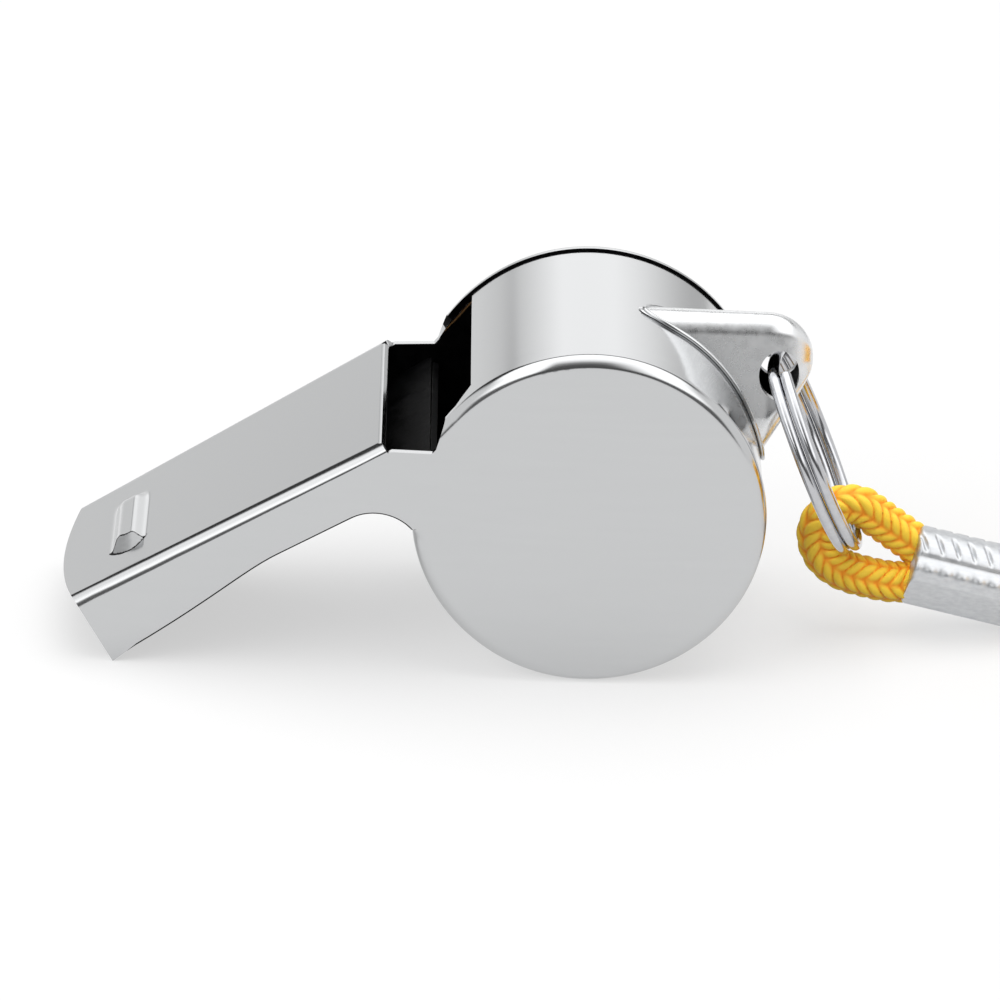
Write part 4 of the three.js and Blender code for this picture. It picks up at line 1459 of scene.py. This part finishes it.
@dataclass(frozen=True)
class Studio:
    """Camera at the photograph's angle, a pale floor and soft light."""

    azimuth: float = math.radians(-1.173)
    elevation: float = math.radians(23.874)
    roll: float = math.radians(1.619)
    distance: float = 500.0
    lens: float = 286.2
    aim: tuple[float, float, float] = (-5.466, -0.944, 8.615)
    sensor: float = 36.0
    nearest: float = 0.01
    floor_size: float = 6.0
    floor_glow: tuple[float, float, float] = (0.55, 0.55, 0.55)
    half_left: tuple[float, float] = (-0.12, -0.28)
    full_left: tuple[float, float] = (-0.29, -0.36)
    full_right: tuple[float, float] = (0.12, 0.42)
    far_aside: tuple[float, float] = (0.68, 0.82)
    end_grey: tuple[float, float, float] = (0.95, 0.95, 0.95)
    front_to_back: tuple[float, float] = (-0.3, 0.2)

    def camera(self) -> None:
        """The camera, placed round the barrel's middle and turned to the aim point."""
        back = Vector((
            math.sin(self.azimuth) * math.cos(self.elevation),
            -math.cos(self.azimuth) * math.cos(self.elevation),
            math.sin(self.elevation),
        ))
        eye = Vector((0, 0, AXIS_Z)) + self.distance * back
        level = (-back).cross(Vector((0, 0, 1))).normalized()
        upright = level.cross(-back)
        up = math.cos(self.roll) * upright - math.sin(self.roll) * level
        behind = (eye - Vector(self.aim)).normalized()
        right = up.cross(behind).normalized()
        turn = Matrix((right, behind.cross(right), behind)).transposed().to_4x4()
        clear_selection()
        bpy.ops.object.camera_add()
        camera = bpy.context.object
        camera.data.lens = self.lens
        camera.data.sensor_width = self.sensor
        camera.data.clip_start = self.nearest
        camera.matrix_world = Matrix.Translation((eye + Vector((AXIS_X, 0, 0))) * MM) @ turn
        bpy.context.scene.camera = camera

    def floor(self) -> None:
        """The pale floor, lit to near white, that keeps the part's shadow."""
        clear_selection()
        bpy.ops.mesh.primitive_plane_add(size=self.floor_size, location=(0, 0, 0))
        floor = bpy.context.object
        floor.name = "floor"
        material = bpy.data.materials.new("matt white paper")
        material.use_nodes = True
        tree = material.node_tree
        tree.nodes.clear()
        path = add_node(tree, "ShaderNodeLightPath")
        seen = add_node(tree, "ShaderNodeMath", {"operation": "ADD"},
                        {"0": path.outputs["Is Camera Ray"], "1": path.outputs["Is Glossy Ray"]})
        paper = add_node(tree, "ShaderNodeBsdfDiffuse", {"Color": linear("959595")})
        glow = add_node(tree, "ShaderNodeEmission", {"Color": (*self.floor_glow, 1)},
                        {"Strength": seen.outputs["Value"]})
        both = add_node(tree, "ShaderNodeAddShader", links={
            "0": paper.outputs["BSDF"], "1": glow.outputs["Emission"]})
        add_node(tree, "ShaderNodeOutputMaterial", links={"Surface": both.outputs["Shader"]})
        floor.data.materials.append(material)

    def world(self) -> None:
        """White to the camera; to the metal, a bright tent with darker gaps between its sides and top."""
        world = bpy.data.worlds.new("white tent")
        bpy.context.scene.world = world
        world.use_nodes = True
        tree = world.node_tree
        tree.nodes.clear()
        spot = add_node(tree, "ShaderNodeTexCoord")
        split = add_node(tree, "ShaderNodeSeparateXYZ", links={"Vector": spot.outputs["Generated"]})
        sideways, depth, height = (split.outputs[axis] for axis in "XYZ")
        gap = ((0.5, 0.12), (0.6, 0.08), (0.68, 1.9))
        back_middle = self.ramp(tree, height, (
            (0.0, 0.92), (0.12, 0.95), (0.3, 1.4), (0.44, 1.45), *gap))
        back_half = self.ramp(tree, height, ((0.0, 0.9), (0.25, 0.92), (0.44, 1.0), *gap))
        back_left = self.ramp(tree, height, (
            (0.0, 0.95), (0.1, 0.92), (0.19, 0.87), (0.22, 0.8), (0.26, 0.06), (0.6, 0.05), (0.68, 1.9)))
        back_right = self.ramp(tree, height, (
            (0.0, 0.55), (0.1, 0.58), (0.3, 0.9), (0.44, 1.0), *gap))
        front_middle = self.ramp(tree, height, (
            (0.0, 0.95), (0.02, 0.85), (0.07, 0.12), (0.25, 0.1), (0.55, 0.14), (0.78, 0.4), (0.9, 1.0),
            (0.99, 1.6)))
        front_side = self.ramp(tree, height, ((0.0, 0.3), (0.08, 0.12), (0.3, 0.2), (0.42, 1.9)))
        half, left, right, facing = (
            self.between(tree, value, limits) for value, limits in (
                (sideways, self.half_left), (sideways, self.full_left),
                (sideways, self.full_right), (depth, self.front_to_back)))
        aside = add_node(tree, "ShaderNodeMath", {"operation": "ADD"}, {"0": left, "1": right})
        front = self.mix(tree, aside.outputs["Value"], front_middle, front_side)
        back = self.mix(tree, half, back_middle, back_half)
        for side, greys in ((left, back_left), (right, back_right)):
            back = self.mix(tree, side, back, greys)
        offset = add_node(tree, "ShaderNodeMath", {"operation": "ABSOLUTE"}, {"0": sideways})
        ends = add_node(tree, "ShaderNodeMixRGB", {"Color2": (*self.end_grey, 1)}, {
            "Fac": self.between(tree, offset.outputs["Value"], self.far_aside),
            "Color1": self.mix(tree, facing, front, back)})
        path = add_node(tree, "ShaderNodeLightPath")
        glossy = add_node(tree, "ShaderNodeBackground", {"Strength": 1.0}, {"Color": ends.outputs["Color"]})
        plain = add_node(tree, "ShaderNodeBackground", {"Color": (1, 1, 1, 1), "Strength": 0.85})
        white = add_node(tree, "ShaderNodeBackground", {"Color": (1, 1, 1, 1), "Strength": 1.0})
        shown = plain.outputs["Background"]
        for ray, light in (("Is Glossy Ray", glossy), ("Is Camera Ray", white)):
            links = {"0": path.outputs[ray], "1": shown, "2": light.outputs["Background"]}
            shown = add_node(tree, "ShaderNodeMixShader", links=links).outputs["Shader"]
        add_node(tree, "ShaderNodeOutputWorld", links={"Surface": shown})

    @staticmethod
    def between(
        tree: Tree, value: Socket, limits: tuple[float, float],
    ) -> Socket:
        """How far a value has come from one limit to the other, from 0 to 1."""
        settings = dict(zip(("From Min", "From Max"), limits))
        return add_node(tree, "ShaderNodeMapRange", settings, {"Value": value}).outputs["Result"]

    @staticmethod
    def mix(
        tree: Tree,
        share: Socket,
        first: Socket,
        second: Socket,
    ) -> Socket:
        """The first colour with a share of the second."""
        links = {"Fac": share, "Color1": first, "Color2": second}
        return add_node(tree, "ShaderNodeMixRGB", links=links).outputs["Color"]

    @staticmethod
    def ramp(
        tree: Tree,
        value: Socket,
        stops: Sequence[tuple[float, float]],
    ) -> Socket:
        """A grey ramp over a value.

        Args:
            tree: the nodes to add it to.
            value: the socket it reads.
            stops: places from 0 to 1, each with its grey.

        Returns:
            The ramp's colour socket.
        """
        ramp = add_node(tree, "ShaderNodeValToRGB", links={"Fac": value})
        elements = ramp.color_ramp.elements
        while len(elements) < len(stops):
            elements.new(0.5)
        for element, (position, grey) in zip(elements, stops):
            element.position = position
            element.color = (grey, grey, grey, 1)
        return ramp.outputs["Color"]

    def lamp(self, name: str, place: tuple[float, float, float], size: float, power: float) -> None:
        """One soft box, turned to the part."""
        clear_selection()
        bpy.ops.object.light_add(type="AREA", location=place)
        lamp = bpy.context.object
        lamp.name = name
        lamp.data.size = size
        lamp.data.energy = power
        lamp.rotation_euler = Vector(place).to_track_quat("Z", "Y").to_euler()
        lamp.visible_glossy = False

    def build(self) -> None:
        """Camera, floor, world and lamps."""
        self.camera()
        self.floor()
        self.world()
        self.lamp("top soft box", (0.05, 0.1, 0.7), 0.7, 3.6)
        self.lamp("left soft box", (-0.5, -0.35, 0.45), 0.5, 2.2)
        bpy.context.scene.view_settings.view_transform = "Standard"


def main() -> None:
    """Build the studio and every piece."""
    Studio().build()
    Lanyard().build()
    UpperShell().build()
    BarrelBand().build()
    LanyardLug().build()
    Pea().build()
    SplitRing().build()
    # The windway floor gets the near-black steel: painted shade inside the chamber.
    floor_plate = frame["nodes"]["windway_floor"]
    floor_plate.data.materials.clear()
    dress(floor_plate, PAINTED_SHADE_STEEL)


if __name__ == "__main__":
    logging.basicConfig(level=logging.INFO, format="%(name)s: %(message)s")
    main()
